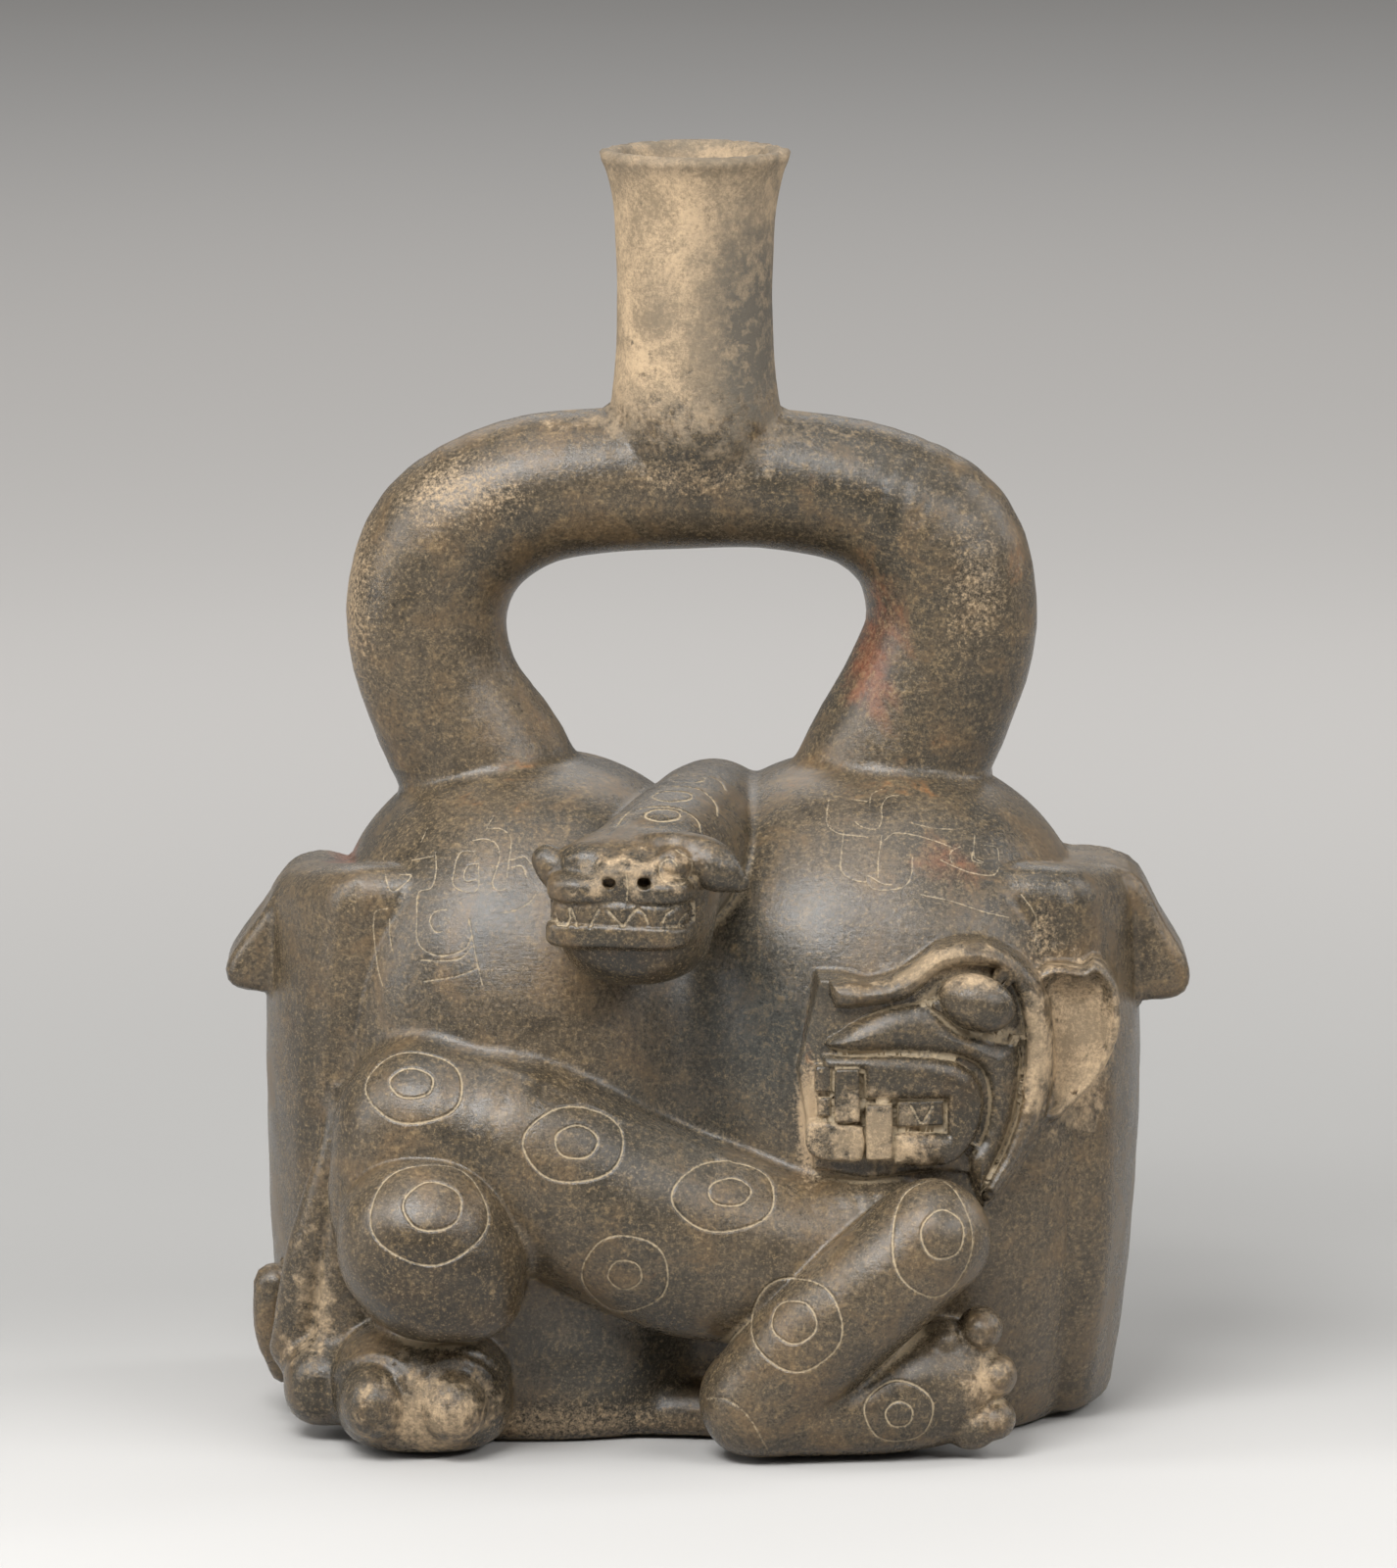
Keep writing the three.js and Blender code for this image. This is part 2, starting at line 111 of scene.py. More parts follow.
# The feline head's relief: the y that its forms and its ear reach back to, and outlines in x, z
HEAD_BACK, EAR_BACK = -50, -34
HEAD_PLATE = [
    (31, 121), (43, 119.5), (51, 121.7), (64, 128.6), (75, 127.4), (86, 117.2), (90.3, 102.3), (88.4, 84.4),
    (81.1, 71.2), (72.3, 62), (68.8, 71), (57, 72), (30.1, 73),
]
CREST = [
    (33.6, 120.8), (43.2, 120.1), (52.4, 122.9), (60.2, 128.8), (71, 129.8), (81.7, 124.4), (88.6, 114),
    (90.4, 99.1), (86.8, 83.7), (77.6, 67.7), (72.7, 63.3), (71.7, 65.7), (77, 75.2), (80.4, 84.2),
    (82.1, 94.1), (82.8, 104), (80.8, 115.4), (77.9, 120.4), (73, 123.6), (62.2, 123.4), (55.4, 117.9),
    (51.5, 115.9), (43.7, 114.7), (35, 114.2),
]
CHEEK = [
    (31.9, 105), (35.4, 107.5), (41.7, 111.5), (48.1, 114), (53.9, 115), (58.3, 115.6), (63.7, 111),
    (69.1, 107.6), (75, 105), (81, 103), (81.6, 94.1), (79.9, 84.2), (76.6, 75.7), (71.7, 66.2), (70, 69.2),
    (68.6, 75.2), (71.6, 79.7), (73.3, 86.2), (73.3, 92.6), (71.6, 97.1), (67.7, 100.1), (61.3, 101.5),
    (51.5, 102.4), (43.2, 102.4), (36.4, 102.8),
]
LOWER_LID = [(57.8, 116.2), (62.7, 113.1), (67.1, 110.7), (72, 108.6), (76.9, 106.6), (82, 105.2)]
LIPS = [
    (32, 102), (43.2, 102), (51.5, 101.8), (58.9, 101.3), (65.2, 99.8), (69.4, 96.9), (71.5, 93.6),
    (72.2, 89.1), (71.5, 84.2), (69.4, 79.2), (66.3, 75.4), (62.8, 73.9), (56.5, 73.8), (49.7, 74.3),
    (49.7, 82.4), (63.1, 81.9), (63, 90.7), (60.4, 90.8), (42.4, 91.3), (42, 98.6), (32, 98.8),
]
CHIN = [
    (29.5, 85.8), (36.9, 84.9), (41.8, 84.2), (41.8, 76), (36.9, 75.6), (31.5, 76.1), (28.5, 78),
    (27.6, 82.2), (28.1, 84.9),
]
EAR = [
    (84, 116), (87, 120.5), (90.4, 121.6), (94.5, 121.2), (97.6, 120.8), (100.4, 122.4), (103.6, 120.4),
    (106, 116.4), (107, 110), (106.6, 104), (103.6, 96), (99.5, 90), (94, 84.6), (90, 81.5), (84, 84),
]

# ---------- distance fields: functions of an (n, 3) array of points, negative inside ----------


def lengths(rows):
    return np.linalg.norm(rows, axis=1)


def cos_sin(degrees):
    return math.cos(math.radians(degrees)), math.sin(math.radians(degrees))


def soft_min(a, b, k):
    """The smaller of two distances, blended over a width k."""
    mix = np.maximum(k - np.abs(a - b), 0) / k
    return np.minimum(a, b) - mix * mix * k / 4


def soft_max(a, b, k):
    """The larger of two distances, blended over a width k."""
    return -soft_min(-a, -b, k)


def spline(stations, per=5, closed=False):
    """Points along the centripetal Catmull-Rom curve through the stations, per points for each stretch."""
    p = np.asarray(stations, float)
    if closed:
        p = np.vstack([p[-1], p, p[:2]])
    else:
        p = np.vstack([2 * p[0] - p[1], p, 2 * p[-1] - p[-2]])
    out = []
    for p0, p1, p2, p3 in zip(p[:-3], p[1:-2], p[2:-1], p[3:]):
        t1 = math.sqrt(np.linalg.norm(p1 - p0))
        t2 = t1 + math.sqrt(np.linalg.norm(p2 - p1))
        t3 = t2 + math.sqrt(np.linalg.norm(p3 - p2))
        for t in np.linspace(t1, t2, per, endpoint=False):
            a1 = p0 + (p1 - p0) * t / t1
            a2 = p1 + (p2 - p1) * (t - t1) / (t2 - t1)
            a3 = p2 + (p3 - p2) * (t - t2) / (t3 - t2)
            b1 = a1 + (a2 - a1) * t / t2
            b2 = a2 + (a3 - a2) * (t - t1) / (t3 - t1)
            out.append(b1 + (b2 - b1) * (t - t1) / (t2 - t1))
    if not closed:
        out.append(p[-2])
    return np.array(out)


class Form:
    """One form: its distance function, the box it lies in and how softly it joins what is there."""

    def __init__(self, distance, low, high, soft=1.5):
        self.distance, self.soft = distance, soft
        self.low, self.high = np.array(low, float), np.array(high, float)


def set_back(x):
    """How far the feline head's relief is set back at x, to follow the right lobe as it turns away."""
    return 0.0055 * np.maximum(0, x - 38) ** 2


def limb(stations, depth=1.0, soft=1.5, per=5, relief=False):
    """A round-ended limb through stations (x, y, z, radius), flattened front to back by depth."""
    path = spline(stations, per)
    squash = np.array([1, 1 / depth, 1])
    centre, radius = path[:, :3] * squash, path[:, 3]

    def distance(points):
        q = points * squash
        if relief:
            q[:, 1] -= set_back(points[:, 0]) / depth
        best = np.full(len(q), 1e3)
        for a, b, ra, rb in zip(centre[:-1], centre[1:], radius[:-1], radius[1:]):
            way = b - a
            t = np.clip((q - a) @ way / max(way @ way, 1e-9), 0, 1)
            best = np.minimum(best, lengths(q - a - t[:, None] * way) - ra - t * (rb - ra))
        return best * min(depth, 1)

    reach = radius[:, None] * max(depth, 1)
    low, high = (path[:, :3] - reach).min(0), (path[:, :3] + reach).max(0)
    if relief:
        high[1] += set_back(high[0])
    return Form(distance, low, high, soft)


def ball(centre, radii, soft, turn=0.0):
    """An ellipsoid, turned about Y by an angle in degrees (positive lifts its +X end)."""
    centre, radii = np.array(centre, float), np.array(radii, float)
    c, s = cos_sin(turn)

    def distance(points):
        q = points - centre
        q = np.column_stack([c * q[:, 0] + s * q[:, 2], q[:, 1], c * q[:, 2] - s * q[:, 0]])
        k0, k1 = lengths(q / radii), lengths(q / radii**2)
        return k0 * (k0 - 1) / np.maximum(k1, 1e-6)

    reach = np.full(3, radii.max())
    return Form(distance, centre - reach, centre + reach, soft)


def power_norm(q, half, power):
    """(norm - 1) over its gradient for a power-law solid: close to a true distance near its surface."""
    a = np.abs(q) / half
    n = np.maximum((a**power).sum(1), 1e-12) ** (1 / power)
    slope = lengths(a ** (power - 1) / half) * n ** (1 - power)
    return (n - 1) / np.maximum(slope, 1e-4)


def pillow(centre, half, power, soft):
    """A block rounded by a power law."""
    centre, half = np.array(centre, float), np.array(half, float)
    return Form(lambda p: power_norm(p - centre, half, power), centre - half, centre + half, soft)


def polygon_distance(x, z, outline):
    """Signed distance in the x, z plane to a closed outline, negative inside."""
    best = np.full(len(x), 1e9)
    inside = np.zeros(len(x), bool)
    for (ax, az), (bx, bz) in zip(outline, np.roll(outline, -1, axis=0)):
        wx, wz = bx - ax, bz - az
        t = np.clip(((x - ax) * wx + (z - az) * wz) / (wx * wx + wz * wz), 0, 1)
        best = np.minimum(best, (x - ax - t * wx) ** 2 + (z - az - t * wz) ** 2)
        crosses = ((az <= z) & (bz > z)) | ((bz <= z) & (az > z))
        side = wx * (z - az) - wz * (x - ax)
        inside ^= crosses & ((side > 0) == (bz > az))
    return np.where(inside, -1, 1) * np.sqrt(best)


def slab(outline, front, back, grow=0.0, relief=False):
    """Two corners of the box round an outline in x, z, from y = front to y = back."""
    low = [outline[:, 0].min() - grow, front, outline[:, 1].min() - grow]
    high = [outline[:, 0].max() + grow, back, outline[:, 1].max() + grow]
    if relief:
        high[1] += set_back(high[0])
    return low, high


def plate(outline, front, back, rounding, draft, soft, relief=False):
    """A flat shape in x, z made solid from y = front to y = back; draft widens it backwards."""
    outline = np.asarray(outline, float)

    def distance(points):
        x, y, z = points.T
        if relief:
            y = y - set_back(x)
        across = polygon_distance(x, z, outline) - draft * np.clip(y - front, 0, 12) + rounding
        along = np.abs(y - (front + back) / 2) - (back - front) / 2 + rounding
        outside = np.hypot(np.maximum(across, 0), np.maximum(along, 0))
        return np.minimum(np.maximum(across, along), 0) + outside - rounding

    return Form(distance, *slab(outline, front, back, draft * 12 + 0.5, relief), soft)


def pad(outline, edge, rise, width, soft=0.6):
    """A domed shape on the feline's head: its rim lies at y = edge, and it rises within width of the rim."""
    outline = np.asarray(outline, float)

    def distance(points):
        x, y, z = points.T
        across = polygon_distance(x, z, outline)
        inside = np.clip(-across / width, 0, 1)
        front = edge + set_back(x) - rise * np.sqrt(inside * (2 - inside))
        return soft_max(across * 0.9, (front - y) * 0.9, 0.8)

    return Form(distance, *slab(outline, edge - rise, HEAD_BACK, relief=True), soft)


def dish(outline, rim, fall, width):
    """A hollowed leaf: its rim stands at y = rim, and its face falls back within width of the rim."""
    outline = closed_loop(outline, 2)

    def distance(points):
        x, y, z = points.T
        across = polygon_distance(x, z, outline)
        inside = np.clip((-across - 1.5) / width, 0, 1)
        front = rim + fall * inside * (2 - inside)
        return soft_max(soft_max(across, (front - y) * 0.75, 2.4), y - EAR_BACK, 1)

    return Form(distance, *slab(outline, rim, EAR_BACK + 1), 1.5)


def swung(form):
    """A form of the serpent's head, turned with it to the left about the head's middle."""
    c, s = cos_sin(SERPENT_TURN)
    middle = np.array([SERPENT_X, SERPENT_Y, 0.0])

    def distance(points):
        q = points - middle
        q = np.column_stack([c * q[:, 0] - s * q[:, 1], s * q[:, 0] + c * q[:, 1], q[:, 2]])
        return form.distance(q + middle)

    corners = np.array([(x, y) for x in (form.low[0], form.high[0]) for y in (form.low[1], form.high[1])])
    turned = (corners - middle[:2]) @ np.array([[c, -s], [s, c]]) + middle[:2]
    low, high = np.append(turned.min(0), form.low[2]), np.append(turned.max(0), form.high[2])
    return Form(distance, low, high, form.soft)


def rectangle(x0, z0, x1, z1):
    return [(x0, z0), (x1, z0), (x1, z1), (x0, z1)]


def closed_loop(points, per):
    return spline(points, per, closed=True)


# ---------- the vessel's forms ----------


def chamber_distance(points):
    """Distance to the two blended lobes."""
    z = points[:, 2] - LOBE_Z
    both = []
    for lobe in LOBES:
        half = np.column_stack([
            np.full(len(z), lobe["wide"]), np.full(len(z), LOBE_DEEP), np.where(z > 0, LOBE_UP, lobe["down"]),
        ])
        q = np.column_stack([points[:, 0] - lobe["x"], points[:, 1], z])
        both.append(power_norm(q, half, LOBE_POWER))
    return soft_min(both[0], both[1], LOBE_BLEND)


def band(side, keel, edge, barrel_in):
    """A side band: bowed to a keel at mid-depth, its top falling to the back and its foot drawn in."""
    root, top = BAND["root"], BAND["top"]

    def distance(points):
        x, y, z = side * points[:, 0], points[:, 1], points[:, 2]
        away = (z - BAND["barrel_z"]) / BAND["barrel"]
        high = np.clip(z / top, 0, 1)
        foot = 1 - np.where(away < 0, BAND["foot_in"] / BAND["root_depth"], 0) * np.abs(away) ** 4
        depth = np.abs(y) / foot
        bow = (keel - edge) + BAND["edge_in"] * high**1.5
        reach = keel - np.where(away < 0, barrel_in, 4) * away**2 - bow * (depth / BAND["edge_depth"]) ** 2
        share = np.clip((x - root) / (edge - root), 0, 1.3)
        front = BAND["root_depth"] - (BAND["root_depth"] - BAND["edge_depth"]) * share**2
        rise = z - top + BAND["fall"] * (y + BAND["root_depth"]) * high**3
        body = soft_max(soft_max((x - reach) * 0.93, (depth - front) * 0.95, 5), rise, 13)
        return np.maximum(soft_max(body, -z, 7), 55 - x)

    low, high = (-keel - 1, -55, -1), (-50, 55, 150)
    if side > 0:
        low, high = (50, -55, -1), (keel + 1, 55, 150)
    return Form(distance, low, high, 1.2)


SPOUT_CURVE = spline(SPOUT, 4)


def round_spout(points):
    """Each point's distance from the spout's axis, its height, and the spout's outer radius there."""
    z = points[:, 2]
    return np.hypot(points[:, 0], points[:, 1]), z, np.interp(z, SPOUT_CURVE[:, 1], SPOUT_CURVE[:, 0])


def spout_form():
    def distance(points):
        r, z, outer = round_spout(points)
        return soft_max(r - outer, np.maximum(z - HEIGHT, SPOUT_FOOT - z), 1.6)

    return Form(distance, (-26, -26, SPOUT_FOOT - 2), (26, 26, HEIGHT + 1), 2.0)


def spout_bore():
    def distance(points):
        r, z, outer = round_spout(points)
        widest = BORE["radius"] + np.maximum(z - BORE["neck"], 0) * BORE["slope"]
        return np.maximum(r - np.minimum(outer - TUBE_WALL, widest), BORE["foot"] - z)

    return Form(distance, (-24, -24, SPOUT_FOOT), (24, 24, HEIGHT + 20), 1.6)


def stirrup_form(margin, soft):
    """The stirrup's tube, its radius changed by a margin."""
    stations = [(x, 0, z, r + margin) for x, z, r in STIRRUP]
    return limb(stations, STIRRUP_DEPTH, soft, 4)


def serpent_forms():
    """The neck, the head's skull, jaws, lips and snout, then the eye, brow, ear and horn."""
    x, y, face = SERPENT_X, SERPENT_Y, SERPENT_FACE
    head = [
        pillow((x, y, 143.5), (19.7, 21, 16.5), 2.8, 3),
        pillow((x + 0.5, y + 1, 133), (17.7, 19.5, 11.5), 2.3, 3),
        pillow((x - 8.2, face + 9.5, MOUTH_TOP + 3.2), (9.6, 9.3, 4.0), 3, 1.0),
        pillow((x + 9.4, face + 9.5, MOUTH_TOP + 3.2), (9.2, 9.3, 4.0), 3, 1.0),
        pillow((x + 2.6, face + 9.2, MOUTH_TOP + 6.4), (9.5, 8.6, 5.0), 2.6, 1.5),
        pillow((x, face + 10.5, MOUTH_BOTTOM - 2.8), (18, 9.8, 3.6), 4.5, 1.2),
        ball((x - 9, y - 11, MOUTH_TOP + 10), (7, 7, 4), 2.0),
    ]
    return [limb(SERPENT_NECK, soft=2.5)] + [swung(form) for form in head] + [
        ball((-5.4, -95, 154), (5.2, 6.5, 4.6), 0.8),
        limb([(-12, -88, 157.5, 3), (-5, -93, 158.5, 3), (1, -93, 157, 3)], soft=1.2),
        limb([(-30, -84, 147.5, 5.4), (-34.5, -87, 151.5, 4.8), (-36.6, -87, 153.5, 3.8)], soft=2.0),
        limb([(-3, -90, 156.5, 4.8), (4, -93, 153, 6.4), (10.8, -94, 149.0, 3.0)], soft=1.0),
    ]


def serpent_teeth():
    """The row of teeth, a band set a little back in the mouth; the gaps between them are incised."""
    middle = (SERPENT_X, SERPENT_FACE + 12.0, (MOUTH_TOP + MOUTH_BOTTOM) / 2)
    return [swung(pillow(middle, (17.3, 10.8, 4), 4, 0.6))]


def feline_body_forms():
    """The limbs and tail, the knee, the shin, the hind paw and the filling between them, then the toes."""
    forms = [
        limb(TORSO, 0.86, 3), limb(HAUNCH, 0.95, 4), limb(UPPER_ARM), limb(FOREARM, soft=2),
        limb(TAIL, soft=2), limb(TAIL_RIDGE), limb(TAIL_CURL),
        limb([(-85, -46, 72, 5), (-86, -47, 45, 8), (-86, -48, 20, 10)], soft=3),
        pillow((-67.5, -80, 56), (22, 23, 21.5), 2.2, 1.2),
        pillow((-61.5, -78, 47), (19, 22, 16), 2.7, 5),
        pillow((-68.5, -62, 15), (22.5, 23, 17.5), 2.5, 2),
        pillow((-93, -50, 14), (11, 13, 11), 2.4, 4),
    ]
    forms += [ball((x, -79, z), (8.8, 11, 9.6), 0.9) for x, z in HIND_TOES]
    forms += [ball((x, -76, z), (r, 7.5, r), 1.2) for x, z, r in FORE_TOES]
    return forms + [limb([(-44, -46, 5.5, 8.5), (-15, -47, 5.5, 8.5), (8, -50, 5.5, 8.5)], soft=3)]


def feline_head_forms():
    """The plate behind, the crest, cheek, eye, lid and lips, the teeth with the chin, and the ear."""
    lid = [(x, -76.0, z, 1.3) for x, z in LOWER_LID]
    teeth = [
        (rectangle(35, 85.9, 41.0, 99.2), -79.0, 0.7), (rectangle(42.8, 76, 49.2, 90.0), -78.8, 0.7),
        (closed_loop(CHIN, 2), -78.2, 1.2), (rectangle(30, 93.3, 34.0, 99.6), -77.0, 0.7),
        (rectangle(30.6, 87.0, 33.8, 91.6), -76.6, 0.6), (rectangle(50.8, 84.2, 62.2, 90.2), -76.0, 0.5),
    ]
    return [
        plate(closed_loop(HEAD_PLATE, 2), -73.4, HEAD_BACK, 1.0, 0.08, 1.0, relief=True),
        pad(closed_loop(CREST, 2), -74.2, 4.4, 4.4),
        pad(closed_loop(CHEEK, 2), -72.8, 5.4, 8, 1.0),
        ball((70.3, -72, 114.9), (10, 6.8, 7.2), 0.8, -18),
        limb(lid, 1.0, 0.7, 4, relief=True),
        pad(LIPS, -75.8, 2.6, 4.5, 0.4),
        *[plate(shape, front, HEAD_BACK, rounding, 0, 0.3, relief=True) for shape, front, rounding in teeth],
        dish(EAR, -57.5, 6.5, 10),
    ]


def lugs():
    deep = LUG_DEPTH + 3
    return [plate(closed_loop(shape, 4), -deep, deep, 3.5, 0, 1.5) for shape in (LEFT_LUG, RIGHT_LUG)]


def outside_forms():
    lobes = Form(chamber_distance, (-115, -75, -60), (115, 75, 170), 1.5)
    forms = [lobes] + [band(**b) for b in BANDS] + lugs() + [stirrup_form(0, 3.0), spout_form()]
    return forms + serpent_forms() + feline_body_forms() + feline_head_forms()


def small_cuts():
    """The undercut below the feline's belly, the serpent's mouth and its nostrils."""
    x, face = SERPENT_X, SERPENT_FACE
    slot = plate(rectangle(x - 18, MOUTH_BOTTOM, x + 18, MOUTH_TOP), face - 10, face + 13, 0.4, 0, 0.5)
    nostrils = [ball((at, face, z), (1.7, 9, 1.6), 0.4) for at, z in ((-21.2, 149.9), (-12.5, 150.3))]
    cove = limb([(-40, -69, 17, 5), (-12, -68, 17, 6), (10, -70, 16, 5)], soft=4)
    return [cove, swung(slot), *nostrils]


def hollow_forms():
    """The hollow in the lobes, behind the side bands, in the stirrup and in the spout."""
    def chamber(points):
        return np.maximum(chamber_distance(points) + WALL * WALL_DRAFT, FLOOR - points[:, 2])

    h = SIDE_HOLLOW
    sides = [pillow((s * h["x"], 0, h["z"]), h["half"], h["power"], 3) for s in (-1, 1)]
    inner = Form(chamber, (-112, -72, 0), (112, 72, 165), 2)
    return [inner, *sides, stirrup_form(-TUBE_WALL, 2.0), spout_bore()]


OUTSIDE, CUTS, TEETH, HOLLOW = outside_forms(), small_cuts(), serpent_teeth(), hollow_forms()
FAR = 30.0


def within(points, box, margin=0):
    """True for the points in a form's box, widened by a margin."""
    return ((points > box.low - margin) & (points < box.high + margin)).all(1)


def combine(points, forms, start):
    """Adds the forms, one after another, to the distances in start."""
    d = start
    for form in forms:
        near = within(points, form, 6)
        if near.any():
            d[near] = soft_min(d[near], form.distance(points[near]), form.soft)
    return d


def wobble(points):
    """The hand-made unevenness of the surface, at most 0.6 mm."""
    x, y, z = points.T
    long_wave = np.sin(x * 0.071 + 1.3) * np.sin(y * 0.083 + 0.4) * np.sin(z * 0.064 + 2.1)
    short_wave = np.sin(x * 0.19 + z * 0.11 + 0.7) * np.sin(z * 0.23 - y * 0.13 + 1.9)
    short_wave *= np.sin(y * 0.17 + 2.5)
    return 0.42 * long_wave + 0.16 * short_wave


def field(points):
    """Distance to the whole vessel's wall, negative in the ceramic."""
    d = combine(points, OUTSIDE, np.full(len(points), FAR)) + wobble(points)
    for cut in CUTS:
        near = within(points, cut, 4)
        if near.any():
            d[near] = soft_max(d[near], -cut.distance(points[near]), cut.soft)
    d = combine(points, TEETH, d)
    inner = combine(points, HOLLOW, np.full(len(points), FAR))
    d = soft_max(d, -inner, 1.6)
    return soft_max(d, -points[:, 2], 5.0)


# ---------- meshing: a coarse surface net, drawn onto the field, then split where it bends ----------

GRID = 2.5  # spacing of the coarse net
NET_LOW, NET_HIGH = np.array([-122.5, -112.5, -5.0]), np.array([129.0, 73.5, 327.5])
LONGEST, LONGEST_CARVED, SHORTEST = 5.5, 2.5, 0.48  # edge lengths of the refined skin
MOST_FACES = 192_000
TETRAHEDRON = np.array([(1, -1, -1), (-1, 1, -1), (-1, -1, 1), (1, 1, 1)], float)


def measure(points, step=0.05):
    """The field at the points, its direction and its slope."""
    total, slope = np.zeros(len(points)), np.zeros((len(points), 3))
    for corner in TETRAHEDRON:
        d = field(points + corner * step)
        total += d
        slope += d[:, None] * corner
    size = lengths(slope)
    unit = slope / np.maximum(size, 1e-9)[:, None]
    return total / 4, unit, size / (4 * step)


def settle(points, rounds=3, most=1.5):
    """Moves the points onto the surface along its normals."""
    for _ in range(rounds):
        d, unit, rate = measure(points)
        points = points - unit * np.clip(d / np.maximum(rate, 0.5), -most, most)[:, None]
    return points


def shifted(values, axis, from_start):
    """The values without the last or the first layer along an axis."""
    cut = [slice(None)] * 3
    cut[axis] = slice(None, -1) if from_start else slice(1, None)
    return values[tuple(cut)]


def crossings(values):
    """For each axis: the axis, the two others, and the values at both ends of the grid's edges along it."""
    for axis in range(3):
        yield axis, (axis + 1) % 3, (axis + 2) % 3, shifted(values, axis, True), shifted(values, axis, False)


def surface_net(low, values):
    """Vertices and triangles of the zero surface of a grid of values, which has to stay inside the grid."""
    cells = tuple(np.array(values.shape) - 1)
    total, count = np.zeros(cells + (3,)), np.zeros(cells)
    for axis, u, v, a, b in crossings(values):
        crosses = (a < 0) != (b < 0)
        share = np.where(crosses, a / np.where(crosses, a - b, 1), 0)
        for du in (0, 1):
            for dv in (0, 1):
                near_u = shifted(crosses, u, du == 0)
                near = shifted(near_u, v, dv == 0)
                part = shifted(shifted(share, u, du == 0), v, dv == 0)
                total[..., axis] += part * near
                total[..., u] += du * near
                total[..., v] += dv * near
                count += near
    active = count > 0
    number = np.full(cells, -1)
    number[active] = np.arange(active.sum())
    where = np.argwhere(active)
    points = low + GRID * (where + total[active] / count[active][:, None])
    faces = []
    for axis, u, v, a, b in crossings(values):
        spots = np.argwhere((a < 0) != (b < 0))
        ring = []
        for du, dv in ((-1, -1), (0, -1), (0, 0), (-1, 0)):
            cell = spots.copy()
            cell[:, u] += du
            cell[:, v] += dv
            ring.append(number[tuple(cell.T)])
        quad = np.column_stack(ring)
        outward = a[tuple(spots.T)] < 0
        quad[~outward] = quad[~outward][:, ::-1]
        faces.append(quad)
    quads = np.vstack(faces)
    p = points[quads]
    short = (lengths(p[:, 0] - p[:, 2]) < lengths(p[:, 1] - p[:, 3]))[:, None]
    one = np.where(short, quads[:, [0, 1, 2]], quads[:, [0, 1, 3]])
    two = np.where(short, quads[:, [0, 2, 3]], quads[:, [1, 2, 3]])
    return points, np.vstack([one, two])


def edges_of(faces, count):
    """The edges as sorted vertex pairs, and each face's three edge numbers."""
    pairs = np.stack([faces, np.roll(faces, -1, axis=1)], axis=2)
    pairs.sort(axis=2)
    keys, number = np.unique(pairs[..., 0].astype(np.int64) * count + pairs[..., 1], return_inverse=True)
    return np.column_stack([keys // count, keys % count]), number.reshape(len(faces), 3)


def split(points, faces, wanted):
    """Splits the edges that wanted(a, b, length) names, and each such face's longest edge."""
    def apart(a, b):
        return lengths(points[a] - points[b])

    edges, number = edges_of(faces, len(points))
    length = apart(edges[:, 0], edges[:, 1])
    marked = wanted(edges[:, 0], edges[:, 1], length)
    for _ in range(3):
        touched = marked[number].any(1)
        longest = number[touched, np.argmax(length[number[touched]], axis=1)]
        marked[longest] = True
    new = np.full(len(edges), -1)
    new[marked] = len(points) + np.arange(marked.sum())
    points = np.vstack([points, (points[edges[marked, 0]] + points[edges[marked, 1]]) / 2])
    middle = new[number]
    has = middle >= 0
    code = has @ np.array([1, 2, 4])
    stack, out = np.column_stack, [faces[code == 0]]
    for turn, (single, double) in enumerate(((1, 3), (2, 6), (4, 5))):
        order = np.roll(np.arange(3), -turn)
        f, m = faces[:, order], middle[:, order]
        pick = code == single
        a, b, c = f[pick].T
        ab = m[pick, 0]
        out += [stack([a, ab, c]), stack([ab, b, c])]
        pick = code == double
        a, b, c = f[pick].T
        ab, bc = m[pick, 0], m[pick, 1]
        straight = (apart(a, bc) < apart(ab, c))[:, None]
        out += [stack([ab, b, bc]), np.where(straight, stack([a, ab, bc]), stack([a, ab, c]))]
        out += [np.where(straight, stack([a, bc, c]), stack([ab, bc, c]))]
    a, b, c = faces[code == 7].T
    ab, bc, ca = middle[code == 7].T
    out += [stack(three) for three in ((a, ab, ca), (ab, b, bc), (bc, c, ca), (ab, bc, ca))]
    return points, np.vstack(out)


def even_out(points, faces, unit, hold):
    """Slides each vertex along the surface towards the middle of its neighbours, unless held."""
    edges, _ = edges_of(faces, len(points))
    ends = np.concatenate([edges[:, 0], edges[:, 1]])
    others = points[np.concatenate([edges[:, 1], edges[:, 0]])]
    count = np.maximum(np.bincount(ends, minlength=len(points)), 1)
    total = np.column_stack([np.bincount(ends, others[:, i], len(points)) for i in range(3)])
    way = total / count[:, None] - points
    way -= (way * unit).sum(1)[:, None] * unit
    return points + way * (0.5 * (1 - hold))[:, None]


def coarse_skin():
    """The coarse net over the whole vessel, inside and out."""
    shape = np.ceil((NET_HIGH - NET_LOW) / GRID).astype(int) + 1
    axes = [NET_LOW[i] + GRID * np.arange(shape[i]) for i in range(3)]
    values = np.empty(shape)
    for i, x in enumerate(axes[0]):
        y, z = np.meshgrid(axes[1], axes[2], indexing="ij")
        values[i] = field(np.column_stack([np.full(y.size, x), y.ravel(), z.ravel()])).reshape(y.shape)
    return surface_net(NET_LOW, values)


